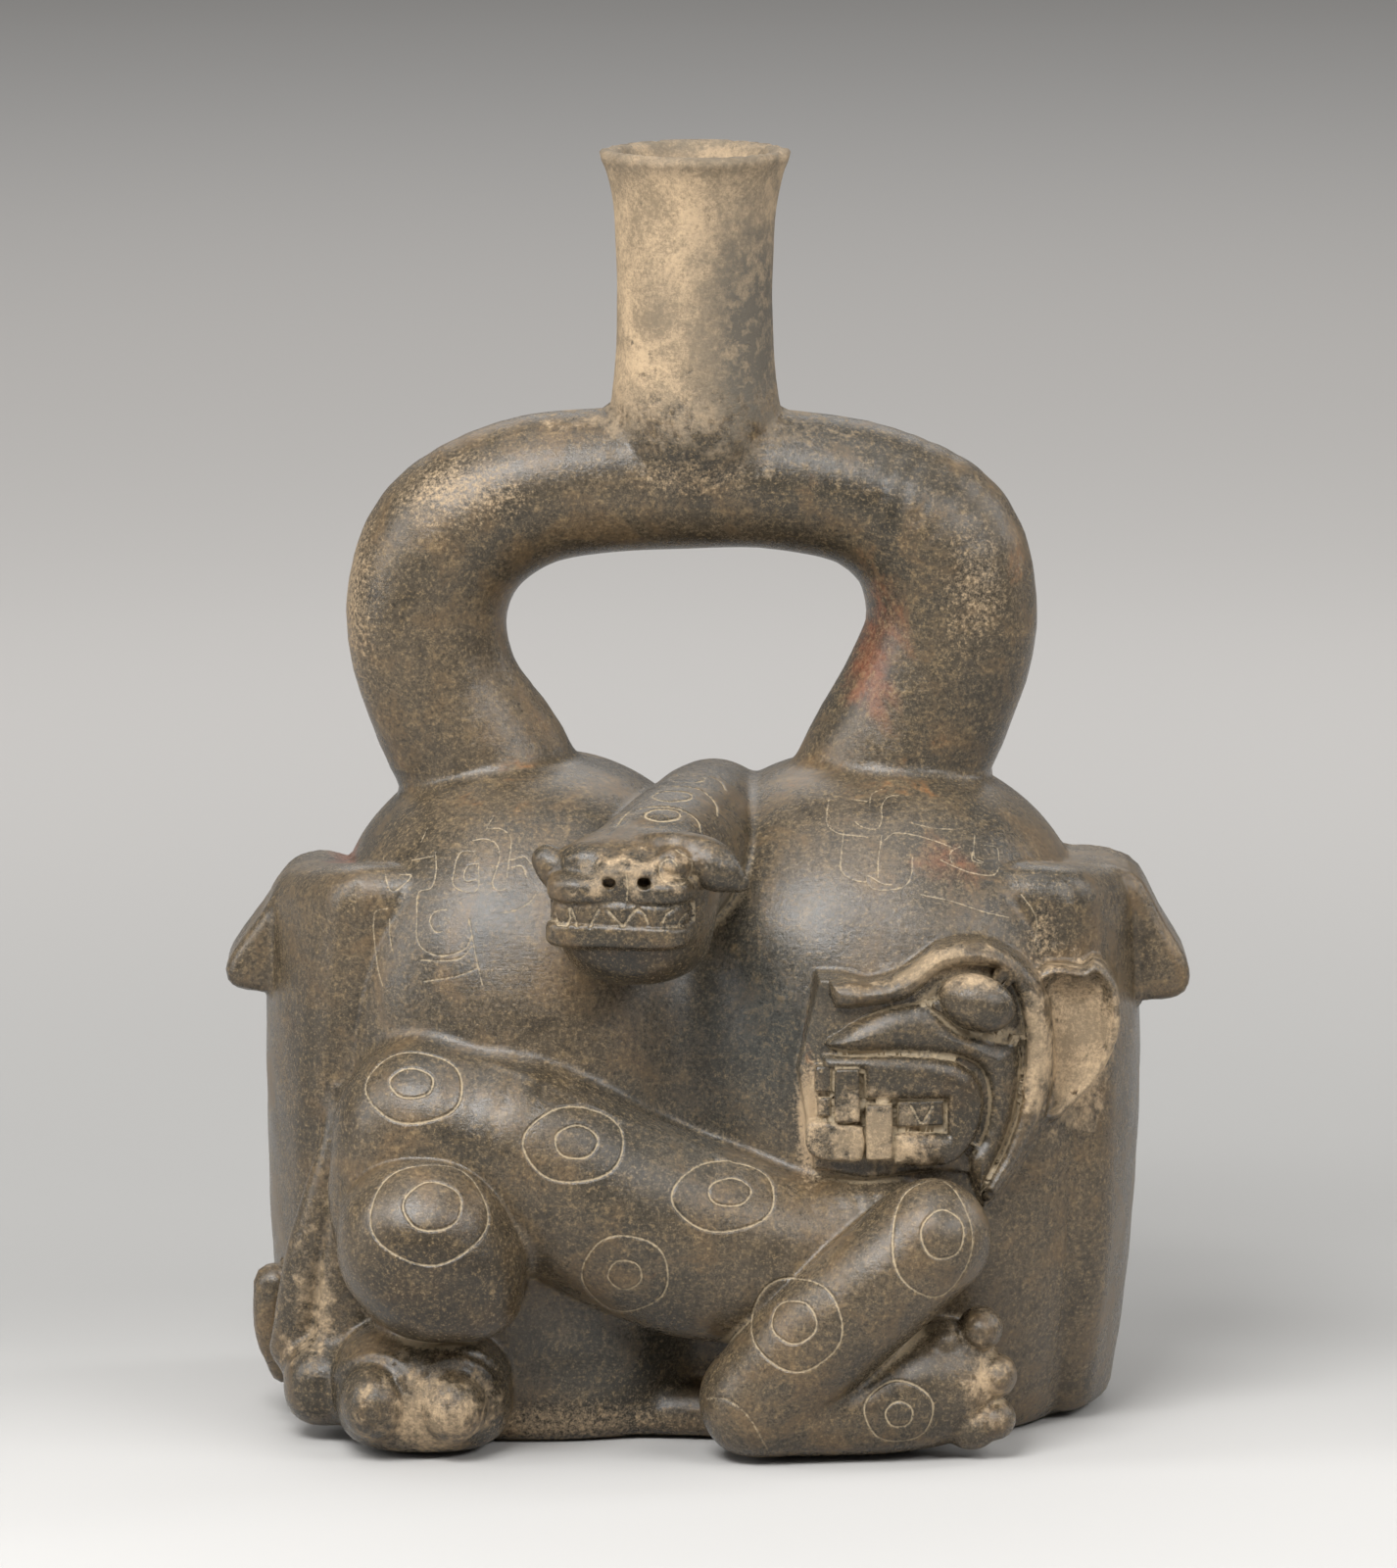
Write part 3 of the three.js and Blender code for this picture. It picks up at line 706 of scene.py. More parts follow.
def blender_mesh(name, points, faces, scale=1.0):
    mesh = bpy.data.meshes.new(name)
    mesh.vertices.add(len(points))
    mesh.vertices.foreach_set("co", (points * scale).astype(np.float32).ravel())
    mesh.loops.add(faces.size)
    mesh.loops.foreach_set("vertex_index", faces.astype(np.int32).ravel())
    mesh.polygons.add(len(faces))
    mesh.polygons.foreach_set("loop_start", np.arange(0, faces.size, 3, dtype=np.int32))
    mesh.update()
    mesh.validate()
    return mesh


def arrays_of(mesh):
    points, faces = np.empty(len(mesh.vertices) * 3), np.empty(len(mesh.polygons) * 3, np.int32)
    mesh.vertices.foreach_get("co", points)
    mesh.loops.foreach_get("vertex_index", faces)
    return points.reshape(-1, 3), faces.reshape(-1, 3)


def in_chamber(points):
    """True for points on the wall of the hollow."""
    return combine(points, HOLLOW, np.full(len(points), FAR)) < 1.2


def thinned(points, faces, chosen, keep):
    """Reduces the faces on the chosen points to a share of their number, the flattest first."""
    mesh = blender_mesh("whole", points, faces)
    piece = bpy.data.objects.new("whole", mesh)
    bpy.context.collection.objects.link(piece)
    group = piece.vertex_groups.new(name="chosen")
    group.add(np.flatnonzero(chosen).tolist(), 1.0, "REPLACE")
    thin = piece.modifiers.new("thin", "DECIMATE")
    thin.vertex_group = "chosen"
    thin.ratio = 1 - (1 - keep) * chosen[faces].all(1).mean()
    result = bpy.data.meshes.new_from_object(piece.evaluated_get(bpy.context.evaluated_depsgraph_get()))
    bpy.data.objects.remove(piece)
    bpy.data.meshes.remove(mesh)
    out = arrays_of(result)
    bpy.data.meshes.remove(result)
    return out


# ---------- incised and raised lines ----------
# Drawn on the front as x, h, where h is the height at which a line of sight that slopes down by
# SIGHT_SLOPE meets the middle plane

SIGHT_SLOPE = math.tan(math.radians(8.6))
SIGHT_START = 125  # how far in front of the middle plane the lines of sight begin

# x, h, half width and half height of each ring spot's outer ring, then of its inner ring
RING_SPOTS = [
    ((-70, 82.5, 12.2, 8.9), (-70.6, 83.9, 5.5, 3.7)), ((-30.1, 68.6, 12.5, 9.5), (-29.5, 69.2, 5.3, 4.2)),
    ((-66, 51.5, 14.7, 12.5), (-65.2, 53.4, 7.3, 6.1)), ((7.4, 55.4, 12.8, 8.8), (8.8, 56.4, 5.3, 3.5)),
    ((-17.2, 35.5, 10.8, 9.9), (-17.4, 35.3, 4.2, 3.8)), ((25.4, 23.4, 11.3, 11.7), (24.5, 24.0, 5.6, 5.4)),
    ((58.9, 45.2, 10.1, 14.7), (61.7, 46.1, 5.4, 6.2)), ((50.8, 0.7, 8.6, 7.9), (51.0, 0.1, 3.4, 3.3)),
]
# The scales on the serpent's neck: rings, then open leaves
NECK_SPOTS = [(-7.9, 151.5, 4.4, 1.5), (-5.6, 156.3, 5.0, 1.3), (-2.1, 160.7, 4.6, 0.9)]
NECK_LEAVES = [
    [(-20, 148), (-17, 151.9), (-10.1, 153.6), (-3.5, 152.9), (0.9, 149.9), (1.6, 147)],
    [(-18.5, 152.8), (-13.5, 157.3), (-4.8, 158.8), (1.6, 157.8), (5.3, 154.3), (5.8, 151.3)],
    [(-13.5, 158.3), (-7.3, 161.3), (0.7, 161.8), (6.4, 160.1), (7.8, 157.8)],
]
# The outlines of single teeth in both mouths
TEETH_LINES = [
    [(-34.8, 127), (-34, 124.2), (-31.7, 124)], [(-31.7, 124), (-30.9, 125.9), (-31.3, 128.3)],
    [(-30.7, 128.4), (-29.2, 123.9)], [(-26, 123.7), (-23.8, 127.9)], [(-21.8, 127.9), (-18.1, 123.9)],
    [(-17.5, 123.9), (-15.9, 126.5), (-14.2, 128.1), (-12.5, 126.9), (-11.5, 124.1)],
    [(-7.9, 124.7), (-6.9, 126.9), (-5.3, 127.9)], [(-3.7, 124.5), (-3, 125.9), (-1.2, 127.5)],
    [(54, 78), (56.7, 72.9), (59.5, 77.8)],
]
# An arc on the feline's elbow, the curl round the serpent's eye and the line between its nostrils
BODY_LINES = [
    [(3.1, 4.1), (7.7, 4.1), (13.4, -0.5), (18.5, -9.7)],
    [(-4.7, 142.7), (-0.8, 139.7), (-1.8, 135.4), (-5.1, 134.1), (-8.3, 136.1), (-8.5, 139.3),
     (-6.1, 140.7), (-4.2, 138.8)], [(-17, 136.8), (-16.7, 133.7), (-17, 130.2)],
]
# Where the lobes meet the side bands
GUTTERS = [
    [(-86, 132), (-87.5, 120), (-88.6, 105), (-90.5, 85)], [(92.5, 133), (91.5, 127), (91, 120)],
]
# Raised lines: above the feline's back, at the serpent's brows and snout, on the panel beside the fore paw
RIDGES = [
    [(-52, 89), (-36.5, 83.3), (-16.9, 73.8), (-2.3, 68.8), (8, 64.3)],
    [(-10.3, 137), (-8.8, 141), (-5.8, 142.6), (-2.6, 142), (-0.6, 139.6)],
    [(-32, 140), (-27.5, 142.2), (-23.5, 141), (-22, 138)], [(-22, 136.6), (-16.8, 138.2), (-11, 136.4)],
    [(92.5, 55), (92.8, 40), (91.5, 22), (89.5, 6)],
]
# The incised signs on the lobes' shoulders
GLYPHS = [
    [(-78.8, 141.1), (-78.2, 137.5), (-76.2, 132), (-71.3, 136.1), (-74.3, 136.3)],
    [(-65.3, 141.8), (-65.1, 136.9), (-66.3, 132.9), (-69.3, 131.9), (-69.8, 125.7), (-69.6, 119.5),
     (-67.7, 117.1), (-64.3, 115.8), (-60.6, 116.2), (-57.2, 118), (-56, 121.1), (-56.8, 125)],
    [(-71.1, 140), (-65.8, 140.9)], [(-68.6, 114.7), (-63.7, 114.5), (-58.7, 115.2), (-56, 118)],
    [(-56.6, 125), (-55.4, 118.3), (-54.1, 112.2), (-53.2, 108.5)],
    [(-68, 109.3), (-63, 110), (-58.7, 110.9), (-54.4, 112.7)],
    [(-77.1, 127.7), (-80.2, 126.9), (-80.8, 124.4), (-80.5, 118.2), (-79.6, 112), (-78.5, 108)],
    [(-76.8, 125), (-76.7, 120.7), (-76.1, 117)],
    [(-62.2, 127.5), (-65, 127), (-66.5, 125.1), (-66.2, 123.3), (-64.9, 121.7), (-63.4, 121.9)],
    [(-55.2, 142.2), (-58.9, 141.9), (-60.6, 136.9), (-60.7, 133.8), (-58.8, 132.3), (-54.8, 132.3),
     (-54.3, 139.1)], [(-54.9, 139.1), (-57, 138.5), (-58.1, 135.7), (-57.3, 134.7), (-55, 135.1)],
    [(-55.9, 145), (-52.2, 145.3), (-49.7, 143.7), (-49.1, 140.6), (-49.9, 137.5), (-50.8, 133.8),
     (-49.3, 132.3), (-47.1, 132.9)],
    [(-52.5, 148.1), (-48.5, 147.8), (-46.3, 145.6), (-46.6, 140.6), (-47.2, 135.7)],
    [(-46, 140), (-42.9, 140.9), (-41.1, 139.1)], [(-46, 138.2), (-43.5, 138.5), (-42.2, 135.7)],
    [(-69, 144.6), (-67.5, 148.1)], [(-52.5, 148.1), (-50.7, 151.2)],
    [(-51.1, 126.4), (-45.9, 127), (-41.6, 129.2), (-39.5, 132)],
    [(33.8, 155.2), (33.2, 151.2), (33.5, 148.7), (35.6, 147), (37.4, 146.5), (43.3, 145.9)],
    [(37.4, 146.5), (36.8, 141.9), (36.7, 137.5), (38.9, 135.4), (42.9, 134.6), (43.2, 136), (46.9, 134.1),
     (49.3, 133.8)],
    [(40.2, 149.9), (42.1, 148.4), (45.8, 148), (47, 149.9), (47.1, 153.7), (48.7, 156), (51.5, 156.5)],
    [(44, 153.7), (44.7, 156.8), (47.2, 158)], [(39.7, 155.5), (43.4, 154.9)],
    [(43.2, 134.4), (44.4, 132.9), (49.9, 132.6), (53, 133.8), (54.3, 136.3), (54.6, 140.6)],
    [(47, 146.2), (46, 140), (45.9, 135.7)],
    [(47.6, 145), (50.1, 146.8), (54.4, 146.5), (59.9, 145), (64.8, 143.2)],
    [(54.7, 149.4), (60, 148.1), (64.9, 147.8)], [(66.7, 143.4), (64.2, 141.9), (64.5, 139.4)],
    [(61.7, 140), (66, 138), (70.3, 136.6), (75.3, 136.3), (76.6, 138.1)],
    [(70.5, 146.2), (70.4, 140.6), (72.5, 139.4)], [(69.8, 141.9), (69.8, 140), (72.2, 139.1)],
    [(72.9, 143.7), (76.1, 143.1), (76.6, 140)], [(82, 131.3), (85.1, 126.9), (86.1, 123.2), (85.5, 119.4)],
    [(56.7, 131.3), (64.7, 129.5), (72.1, 127), (78.9, 125.4)],
]


def ring(x, h, wide, high):
    """An ellipse as a closed line, drawn by hand and so a little uneven."""
    a = np.linspace(0, 2 * math.pi, 49)
    r = 1 + 0.04 * np.sin(3 * a + x) * np.sin(2 * a + h)
    return np.column_stack([x + wide * r * np.cos(a), h + high * r * np.sin(a)])


def evenly(line, gap=0.3):
    """Points every gap along a line."""
    line = np.asarray(line, float)
    run = np.concatenate([[0], np.cumsum(lengths(np.diff(line, axis=0)))])
    at = np.linspace(0, run[-1], max(2, int(run[-1] / gap)))
    return np.column_stack([np.interp(at, run, line[:, i]) for i in range(line.shape[1])])


def draped(lines):
    """The (x, h) points of the lines, laid on the front of the surface."""
    flat = np.vstack([evenly(line) for line in lines])
    way = np.array([0, 1, -SIGHT_SLOPE])
    way /= np.linalg.norm(way)
    height = flat[:, 1] + SIGHT_START * SIGHT_SLOPE
    start = np.column_stack([flat[:, 0], np.full(len(flat), -SIGHT_START), height])
    run = np.zeros(len(flat))
    for _ in range(60):
        run += np.clip(0.8 * field(start + run[:, None] * way), -3, 8)
    points = start + run[:, None] * way
    return points[np.abs(field(points)) < 0.3]


def arcs(x, h, radii, low, high):
    """Arcs about a point, from low to high degrees."""
    a = np.radians(np.linspace(low, high, 25))
    return [np.column_stack([x + r * np.cos(a), h + r * np.sin(a)]) for r in radii]


def curves(lines):
    return [spline(line, 6) for line in lines]


def line_sets():
    """Each set of lines with its groove's half width and depth, and how much pale deposit lies in it."""
    rings = [ring(*r) for spot in RING_SPOTS for r in spot]
    scales = [ring(*r) for r in NECK_SPOTS] + curves(NECK_LEAVES)
    toes = arcs(-80.0, 2.6, (12.0,), 35, 150) + arcs(-60.8, 1.6, (12.0, 15.0), 35, 150)
    return [
        Lines(rings, 0.38, 0.42, 0.85), Lines(scales, 0.45, 0.4, 1.0),
        Lines(curves(BODY_LINES), 0.45, 0.4, 0.7),
        Lines([evenly(line) for line in TEETH_LINES], 0.45, 0.6, 0.8),
        Lines(curves(GLYPHS), 0.3, 0.1, 0.75), Lines(curves(GUTTERS), 2.4, 0.9, 0.25),
        Lines(curves(RIDGES), 1.3, -0.45, 0.0), Lines(toes, 1.3, -1.0, 0.0),
    ]


class Lines:
    """Lines on the surface that are cut in, or stand proud where the depth is below nought."""

    def __init__(self, lines, wide, deep, pale):
        self.points = draped(lines)
        self.wide, self.deep, self.pale = wide, deep, pale
        self.tree = KDTree(len(self.points))
        for i, p in enumerate(self.points):
            self.tree.insert(p, i)
        self.tree.balance()
        reach = 2 * wide + 3
        self.low, self.high = self.points.min(0) - reach, self.points.max(0) + reach

    def distance(self, points):
        gap = np.full(len(points), 99.0)
        for i in np.flatnonzero(within(points, self)):
            gap[i] = self.tree.find(points[i])[2]
        return gap

    def share(self, points):
        """1 in the middle of a line, 0 beyond its edge."""
        cut = np.clip(1 - self.distance(points) / (1.7 * self.wide), 0, 1)
        return cut * cut * (3 - 2 * cut)


# ---------- the skin ----------


def relief_share(points):
    """1 on the carved front, 0 on the plain back and sides."""
    x, y, z = points.T
    front = np.clip((-38 - y) / 8, 0, 1) * np.clip((172 - z) / 8, 0, 1)
    neck = np.clip((34 - np.hypot(x, 0.3 * y)) / 6, 0, 1)
    neck = neck * np.clip((z - 140) / 6, 0, 1) * np.clip((185 - z) / 8, 0, 1)
    return np.maximum(front, neck * (y < 30))


def fine_skin(lines):
    """The coarse net with its inside thinned and its outside refined where it bends or is carved."""
    points, faces = coarse_skin()
    points = settle(points, 3)
    deep = (points[:, 2] < 235) | (np.abs(points[:, 0]) > 40)
    points, faces = thinned(points, faces, in_chamber(points) & deep, 0.12)
    for _ in range(4):
        _, unit, _ = measure(points)
        hidden = in_chamber(points)
        share = relief_share(points)
        gaps = [line.distance(points) for line in lines]

        def wanted(a, b, length):
            turn = 1 - (unit[a] * unit[b]).sum(1)
            seen = ~(hidden[a] | hidden[b])
            carved = np.minimum(share[a], share[b])
            bent = (turn > 0.06) & (length > 1.2) | (turn > 0.2) & (length > 0.65)
            longest = LONGEST - (LONGEST - LONGEST_CARVED) * carved
            marked = (length > longest) | (bent & (carved > 0.1))
            for line, gap in zip(lines, gaps):
                close = np.minimum(gap[a], gap[b]) < 1.3 * line.wide + 0.4 * length
                marked |= close & (length > max(SHORTEST, 1.5 * line.wide))
            return seen & marked

        points, faces = split(points, faces, wanted)
        _, unit, _ = measure(points)
        points = even_out(points, faces, unit, in_chamber(points) * 1.0)
        points = settle(points, 2, 0.8)
    return points, faces


# ---------- materials ----------


class Tree:
    """Builds a material's nodes."""

    def __init__(self, name):
        self.material = bpy.data.materials.new(name)
        self.material.use_nodes = True
        self.nodes, self.links = self.material.node_tree.nodes, self.material.node_tree.links
        self.shader = self.nodes["Principled BSDF"]
        self.place = self.node("ShaderNodeTexCoord").outputs["Object"]

    def node(self, kind, inputs=(), **settings):
        made = self.nodes.new(kind)
        for key, value in settings.items():
            setattr(made, key, value)
        for key, value in dict(inputs).items():
            self.put(made.inputs[key], value)
        return made

    def put(self, socket, value):
        if isinstance(value, bpy.types.NodeSocket):
            self.links.new(value, socket)
        elif hasattr(value, "__len__") and len(value) == 3 and socket.type == "RGBA":
            socket.default_value = (*value, 1)
        else:
            socket.default_value = value

    def noise(self, scale, detail, roughness, place=None, distortion=0.0):
        inputs = dict(Vector=place or self.place, Scale=scale, Detail=detail, Roughness=roughness)
        return self.node("ShaderNodeTexNoise", dict(inputs, Distortion=distortion)).outputs["Fac"]

    def stretched(self, scale, turn):
        made = self.node("ShaderNodeMapping", dict(Vector=self.place, Scale=scale, Rotation=turn))
        return made.outputs["Vector"]

    def math(self, operation, a, b=0.0, c=0.0, clamp=False):
        made = self.node("ShaderNodeMath", {0: a, 1: b, 2: c}, operation=operation, use_clamp=clamp)
        return made.outputs[0]

    def span(self, value, low, high, to_low=0.0, to_high=1.0):
        """The value, from low..high, carried smoothly to to_low..to_high."""
        inputs = {"Value": value, "From Min": low, "From Max": high, "To Min": to_low, "To Max": to_high}
        return self.node("ShaderNodeMapRange", inputs, interpolation_type="SMOOTHSTEP").outputs["Result"]

    def times(self, a, b):
        return self.math("MULTIPLY", a, b)

    def mix(self, share, a, b):
        return self.node("ShaderNodeMix", {0: share, 6: a, 7: b}, data_type="RGBA").outputs[2]

    def attribute(self, name):
        return self.node("ShaderNodeAttribute", attribute_name=name).outputs["Fac"]

    def bump(self, height, distance, strength):
        made = self.node("ShaderNodeBump", dict(Height=height, Distance=distance, Strength=strength))
        return made.outputs["Normal"]


def srgb(r, g, b):
    """A colour given as 0-255 display values, made linear."""
    c = np.array([r, g, b]) / 255
    return tuple(np.where(c <= 0.04045, c / 12.92, ((c + 0.055) / 1.055) ** 2.4))


def ceramic():
    """Dark burnished clay under coats of mottling, stain, worn grit, dust and pale deposit, with painted
    bluish shade in the hollows round the animals and a highlight partly painted on the arch.
    """
    t = Tree("burnished_ceramic")
    clouds = t.noise(17, 3, 0.55)
    mottle = t.noise(60, 6, 0.7, distortion=0.5)
    grain = t.noise(230, 5, 0.72)
    fine = t.noise(900, 6, 0.85)
    speck = t.noise(1900, 3, 0.7)
    strokes = t.noise(1, 5, 0.65, place=t.stretched((60, 60, 700), (0.12, 0.05, 0)), distortion=0.4)

    def ragged(kind, noise, strength, low, high):
        """The patches of one kind, their edges broken up by the noise."""
        rough = t.times(t.math("SUBTRACT", noise, 0.5), strength)
        return t.span(t.math("ADD", t.attribute(kind), rough), low, high)

    worn = ragged("grit", grain, 1.5, 0.35, 0.75)
    sand = t.mix(t.span(t.math("ADD", mottle, t.math("SUBTRACT", fine, 0.5)), 0.35, 0.7), SAND_DARK, SAND)
    sand = t.mix(t.times(t.attribute("grey"), t.span(grain, 0.35, 0.6, 0.5, 1.0)), sand, SAND_GREY)
    sand = t.mix(t.times(t.span(grain, 0.38, 0.24), 0.7), sand, DARK)
    polish = ragged("dark", mottle, 0.8, 0.2, 0.9)
    # the tan patches: dust, and on the arch partly a painted highlight
    dust_and_painted_highlight = ragged("tan", fine, 1.8, 0.4, 0.9)
    crease = ragged("crease", fine, 1.7, 0.45, 0.95)
    groove = ragged("groove", fine, 1.3, 0.35, 0.8)
    # Where each coat lies, how strongly, and its colour, from the lowest up
    coats = [
        (t.span(mottle, 0.47, 0.68), 0.65, WARM), (t.span(mottle, 0.48, 0.3), 0.6, BLACK),
        (t.span(strokes, 0.55, 0.75), 0.22, OCHRE), (polish, 0.6, BLACK),
        # painted bluish shade in the valley under the serpent's head and round the feline's torso
        (t.times(t.attribute("painted_blue_shade"), t.span(grain, 0.3, 0.6, 0.45, 0.95)), 1.0, SHADE_SLATE),
        (ragged("red", mottle, 1.6, 0.3, 0.9), 0.75, RED), (t.span(grain, 0.53, 0.75), 0.4, OCHRE),
        (t.span(fine, 0.52, 0.64), 0.55, OCHRE), (t.span(fine, 0.49, 0.36), 0.7, BLACK), (worn, 0.92, sand),
        (dust_and_painted_highlight, 0.65, SAND), (ragged("orange", mottle, 1.6, 0.35, 0.85), 0.75, ORANGE),
        (crease, 0.5, DEPOSIT), (groove, 0.7, DEPOSIT), (t.span(speck, 0.66, 0.76), 0.5, SAND),
    ]
    colour = t.mix(t.span(clouds, 0.36, 0.64), DARK, BROWN)
    for share, strength, tone in coats:
        colour = t.mix(t.times(share, strength), colour, tone)

    pale = t.math("MAXIMUM", t.math("MAXIMUM", worn, dust_and_painted_highlight), t.math("MAXIMUM", crease, groove))
    rough = t.math("ADD", t.span(mottle, 0.3, 0.7, 0.2, 0.32), t.times(t.span(fine, 0.45, 0.75), 0.16))
    rough = t.math("SUBTRACT", rough, t.times(polish, 0.09))
    rough = t.math("ADD", rough, t.times(pale, 0.42), clamp=True)
    scratches = t.noise(1, 2, 0.5, place=t.stretched((260, 260, 2600), (0.5, 0.3, 0.4)))
    height = t.math("ADD", t.times(grain, 0.6), t.times(scratches, 0.1))
    height = t.math("ADD", height, t.times(fine, t.math("MULTIPLY_ADD", worn, 0.9, 0.3)))
    t.put(t.shader.inputs["Base Color"], colour)
    t.put(t.shader.inputs["Roughness"], rough)
    t.put(t.shader.inputs["Normal"], t.bump(height, 0.0005, 0.6))
    t.shader.inputs["IOR"].default_value = 1.47
    return t.material


DARK, BROWN, WARM = srgb(57, 52, 43), srgb(80, 70, 56), srgb(102, 82, 57)
OCHRE, BLACK, SHADE_SLATE = srgb(150, 127, 92), srgb(26, 24, 20), srgb(70, 73, 71)
SAND, SAND_DARK, SAND_GREY = srgb(190, 165, 132), srgb(134, 117, 93), srgb(88, 82, 72)
DEPOSIT = srgb(182, 164, 134)
ORANGE, RED = srgb(176, 112, 58), srgb(122, 68, 44)

# Patches of wear and stain, of painted bluish shade, and on the arch of scuffs that are partly a painted
# highlight, by kind: centre and radii in millimetres, and strength
PATCHES = {
    "grit": [
        ((0, 0, 295), (60, 60, 58), 1.2), ((-66, -82, 12), (28, 20, 20), 0.62),
        ((72, -78, 20), (10, 20, 22), 0.6), ((-96, -50, 30), (12, 20, 40), 0.6),
        ((97, -52, 100), (14, 20, 28), 1.0), ((4, -95, 153), (9, 8, 7), 0.55),
        ((-15, -102, 152), (26, 14, 12), 0.55), ((60, -80, 124), (34, 20, 8), 0.85),
        ((86, -70, 100), (7, 30, 26), 0.8), ((46, -80, 82), (24, 14, 17), 0.75),
    ],
    "grey": [
        ((14, -10, 275), (18, 30, 50), 1.2), ((0, 0, 250), (40, 40, 14), 0.8),
        ((0, 0, 322), (40, 40, 6), 1.0), ((-8, -14, 284), (6, 12, 14), 0.5),
    ],
    "dark": [
        ((-64, -98, 46), (26, 30, 26), 1.2), ((-14, -92, 128), (24, 30, 11), 1.0),
        ((66, -76, 92), (16, 12, 24), 0.6), ((-30, -60, 44), (26, 40, 16), 0.2),
        ((-100, -40, 90), (14, 30, 60), 0.5), ((-50, -50, 165), (30, 40, 12), 0.4),
        ((40, -78, 30), (30, 20, 12), 0.3), ((0, -30, 236), (60, 10, 12), 0.3),
    ],
    "orange": [
        ((29, -66, 104), (3.5, 16, 10), 0.6), ((-2, -75, 4), (5, 12, 8), 0.8),
        ((-10, -84, 48), (4, 8, 3), 0.5), ((31, -10, 240), (10, 16, 8), 0.5),
        ((78, -10, 214), (8, 14, 10), 0.5), ((-52, -30, 165), (34, 44, 14), 0.34),
        ((50, -30, 165), (34, 44, 14), 0.32),
    ],
    "red": [
        ((46, -10, 192), (14, 18, 34), 0.7), ((64, -50, 148), (18, 16, 12), 0.5),
        ((-88, 0, 140), (8, 30, 6), 0.9),
    ],
    "painted_blue_shade": [
        # Painted bluish shade: in the valley between the lobes under the serpent's head, in the fold above
        # the feline's back and under its belly
        ((12, -66, 112), (26, 22, 34), 0.9), ((4, -70, 84), (30, 20, 16), 0.6),
        ((-36, -60, 88), (14, 14, 10), 0.5), ((-20, -60, 26), (40, 20, 16), 0.35),
    ],
    "tan": [
        # On the arch these pale patches are partly beige-grey scuffs and partly a painted highlight where the
        # key light reflects
        ((29, -68, 86), (5, 16, 22), 1.1), ((-84, 0, 205), (14, 24, 40), 0.7),
        ((0, -18, 240), (30, 12, 10), 0.5), ((-60, -14, 236), (32, 16, 16), 0.6),
        ((70, -16, 212), (16, 14, 30), 0.55), ((66, -60, 124), (40, 14, 8), 0.4),
        ((-30, -64, 5), (60, 30, 11), 0.6), ((88, -60, 128), (8, 20, 16), 0.8),
    ],
}


def patch_share(points, kind):
    """How strongly the patches of one kind lie on the points, 0 to about 1."""
    share = np.zeros(len(points))
    for centre, radii, strength in PATCHES[kind]:
        reach = lengths((points - np.array(centre)) / np.array(radii))
        share = np.maximum(share, strength * np.clip(1.25 - reach, 0, 1))
    return share


def crease_share(points, unit):
    """How deep in a fold of the relief a point lies, from how soon the surface is met again beyond it."""
    near = 1 - field(points + unit * 1.6) / 1.6
    wide = 1 - field(points + unit * 5) / 5
    return np.clip(0.75 * near + 0.45 * wide - 0.15, 0, 1)


def shade_smooth(mesh, unit, cut):
    """Gives the mesh its own normals where a line is cut or it bends sharply, and the field's elsewhere."""
    normals = np.empty(unit.size, np.float32)
    mesh.polygons.foreach_set("use_smooth", np.ones(len(mesh.polygons), bool))
    mesh.vertices.foreach_get("normal", normals)
    normals = normals.reshape(-1, 3)
    turned = 1 - (normals * unit).sum(1)
    own = np.clip(np.maximum(3 * cut, turned * 12 - 0.2), 0, 1)[:, None]
    normals = normals * own + unit * (1 - own)
    normals /= np.maximum(lengths(normals), 1e-6)[:, None]
    mesh.normals_split_custom_set_from_vertices(normals.tolist())


def build_vessel():
    """The skin with its lines cut in, thinned where it is plain, and its wear, stains, painted shade and
    partly painted highlight stored on the points.
    """
    lines = line_sets()
    points, faces = fine_skin(lines)
    _, unit, _ = measure(points)
    drawn = [line.share(points) for line in lines]
    points -= unit * sum(share * line.deep for share, line in zip(drawn, lines))[:, None]
    plain = np.max(drawn, axis=0) == 0
    over = (len(faces) - MOST_FACES) / plain[faces].all(1).sum()
    points, faces = thinned(points, faces, plain, 1 - over)
    uncut = settle(points, 2)
    _, unit, _ = measure(uncut)
    shares = [line.share(uncut) for line in lines]
    mesh = blender_mesh("stirrup_spout_vessel_skin", points, faces, MM)
    shade_smooth(mesh, unit, np.max(shares, axis=0))
    layers = {kind: patch_share(points, kind) for kind in PATCHES}
    layers["groove"] = np.max([share * line.pale for share, line in zip(shares, lines)], axis=0)
    layers["crease"] = crease_share(points, unit)
    for name, values in layers.items():
        mesh.attributes.new(name, "FLOAT", "POINT").data.foreach_set("value", values.astype(np.float32))
    piece = bpy.data.objects.new("vessel_skin", mesh)
    bpy.context.collection.objects.link(piece)
    mesh.materials.append(ceramic())
    print("skin", len(points), "points", len(faces), "triangles")
    return piece


# ---------- the studio ----------


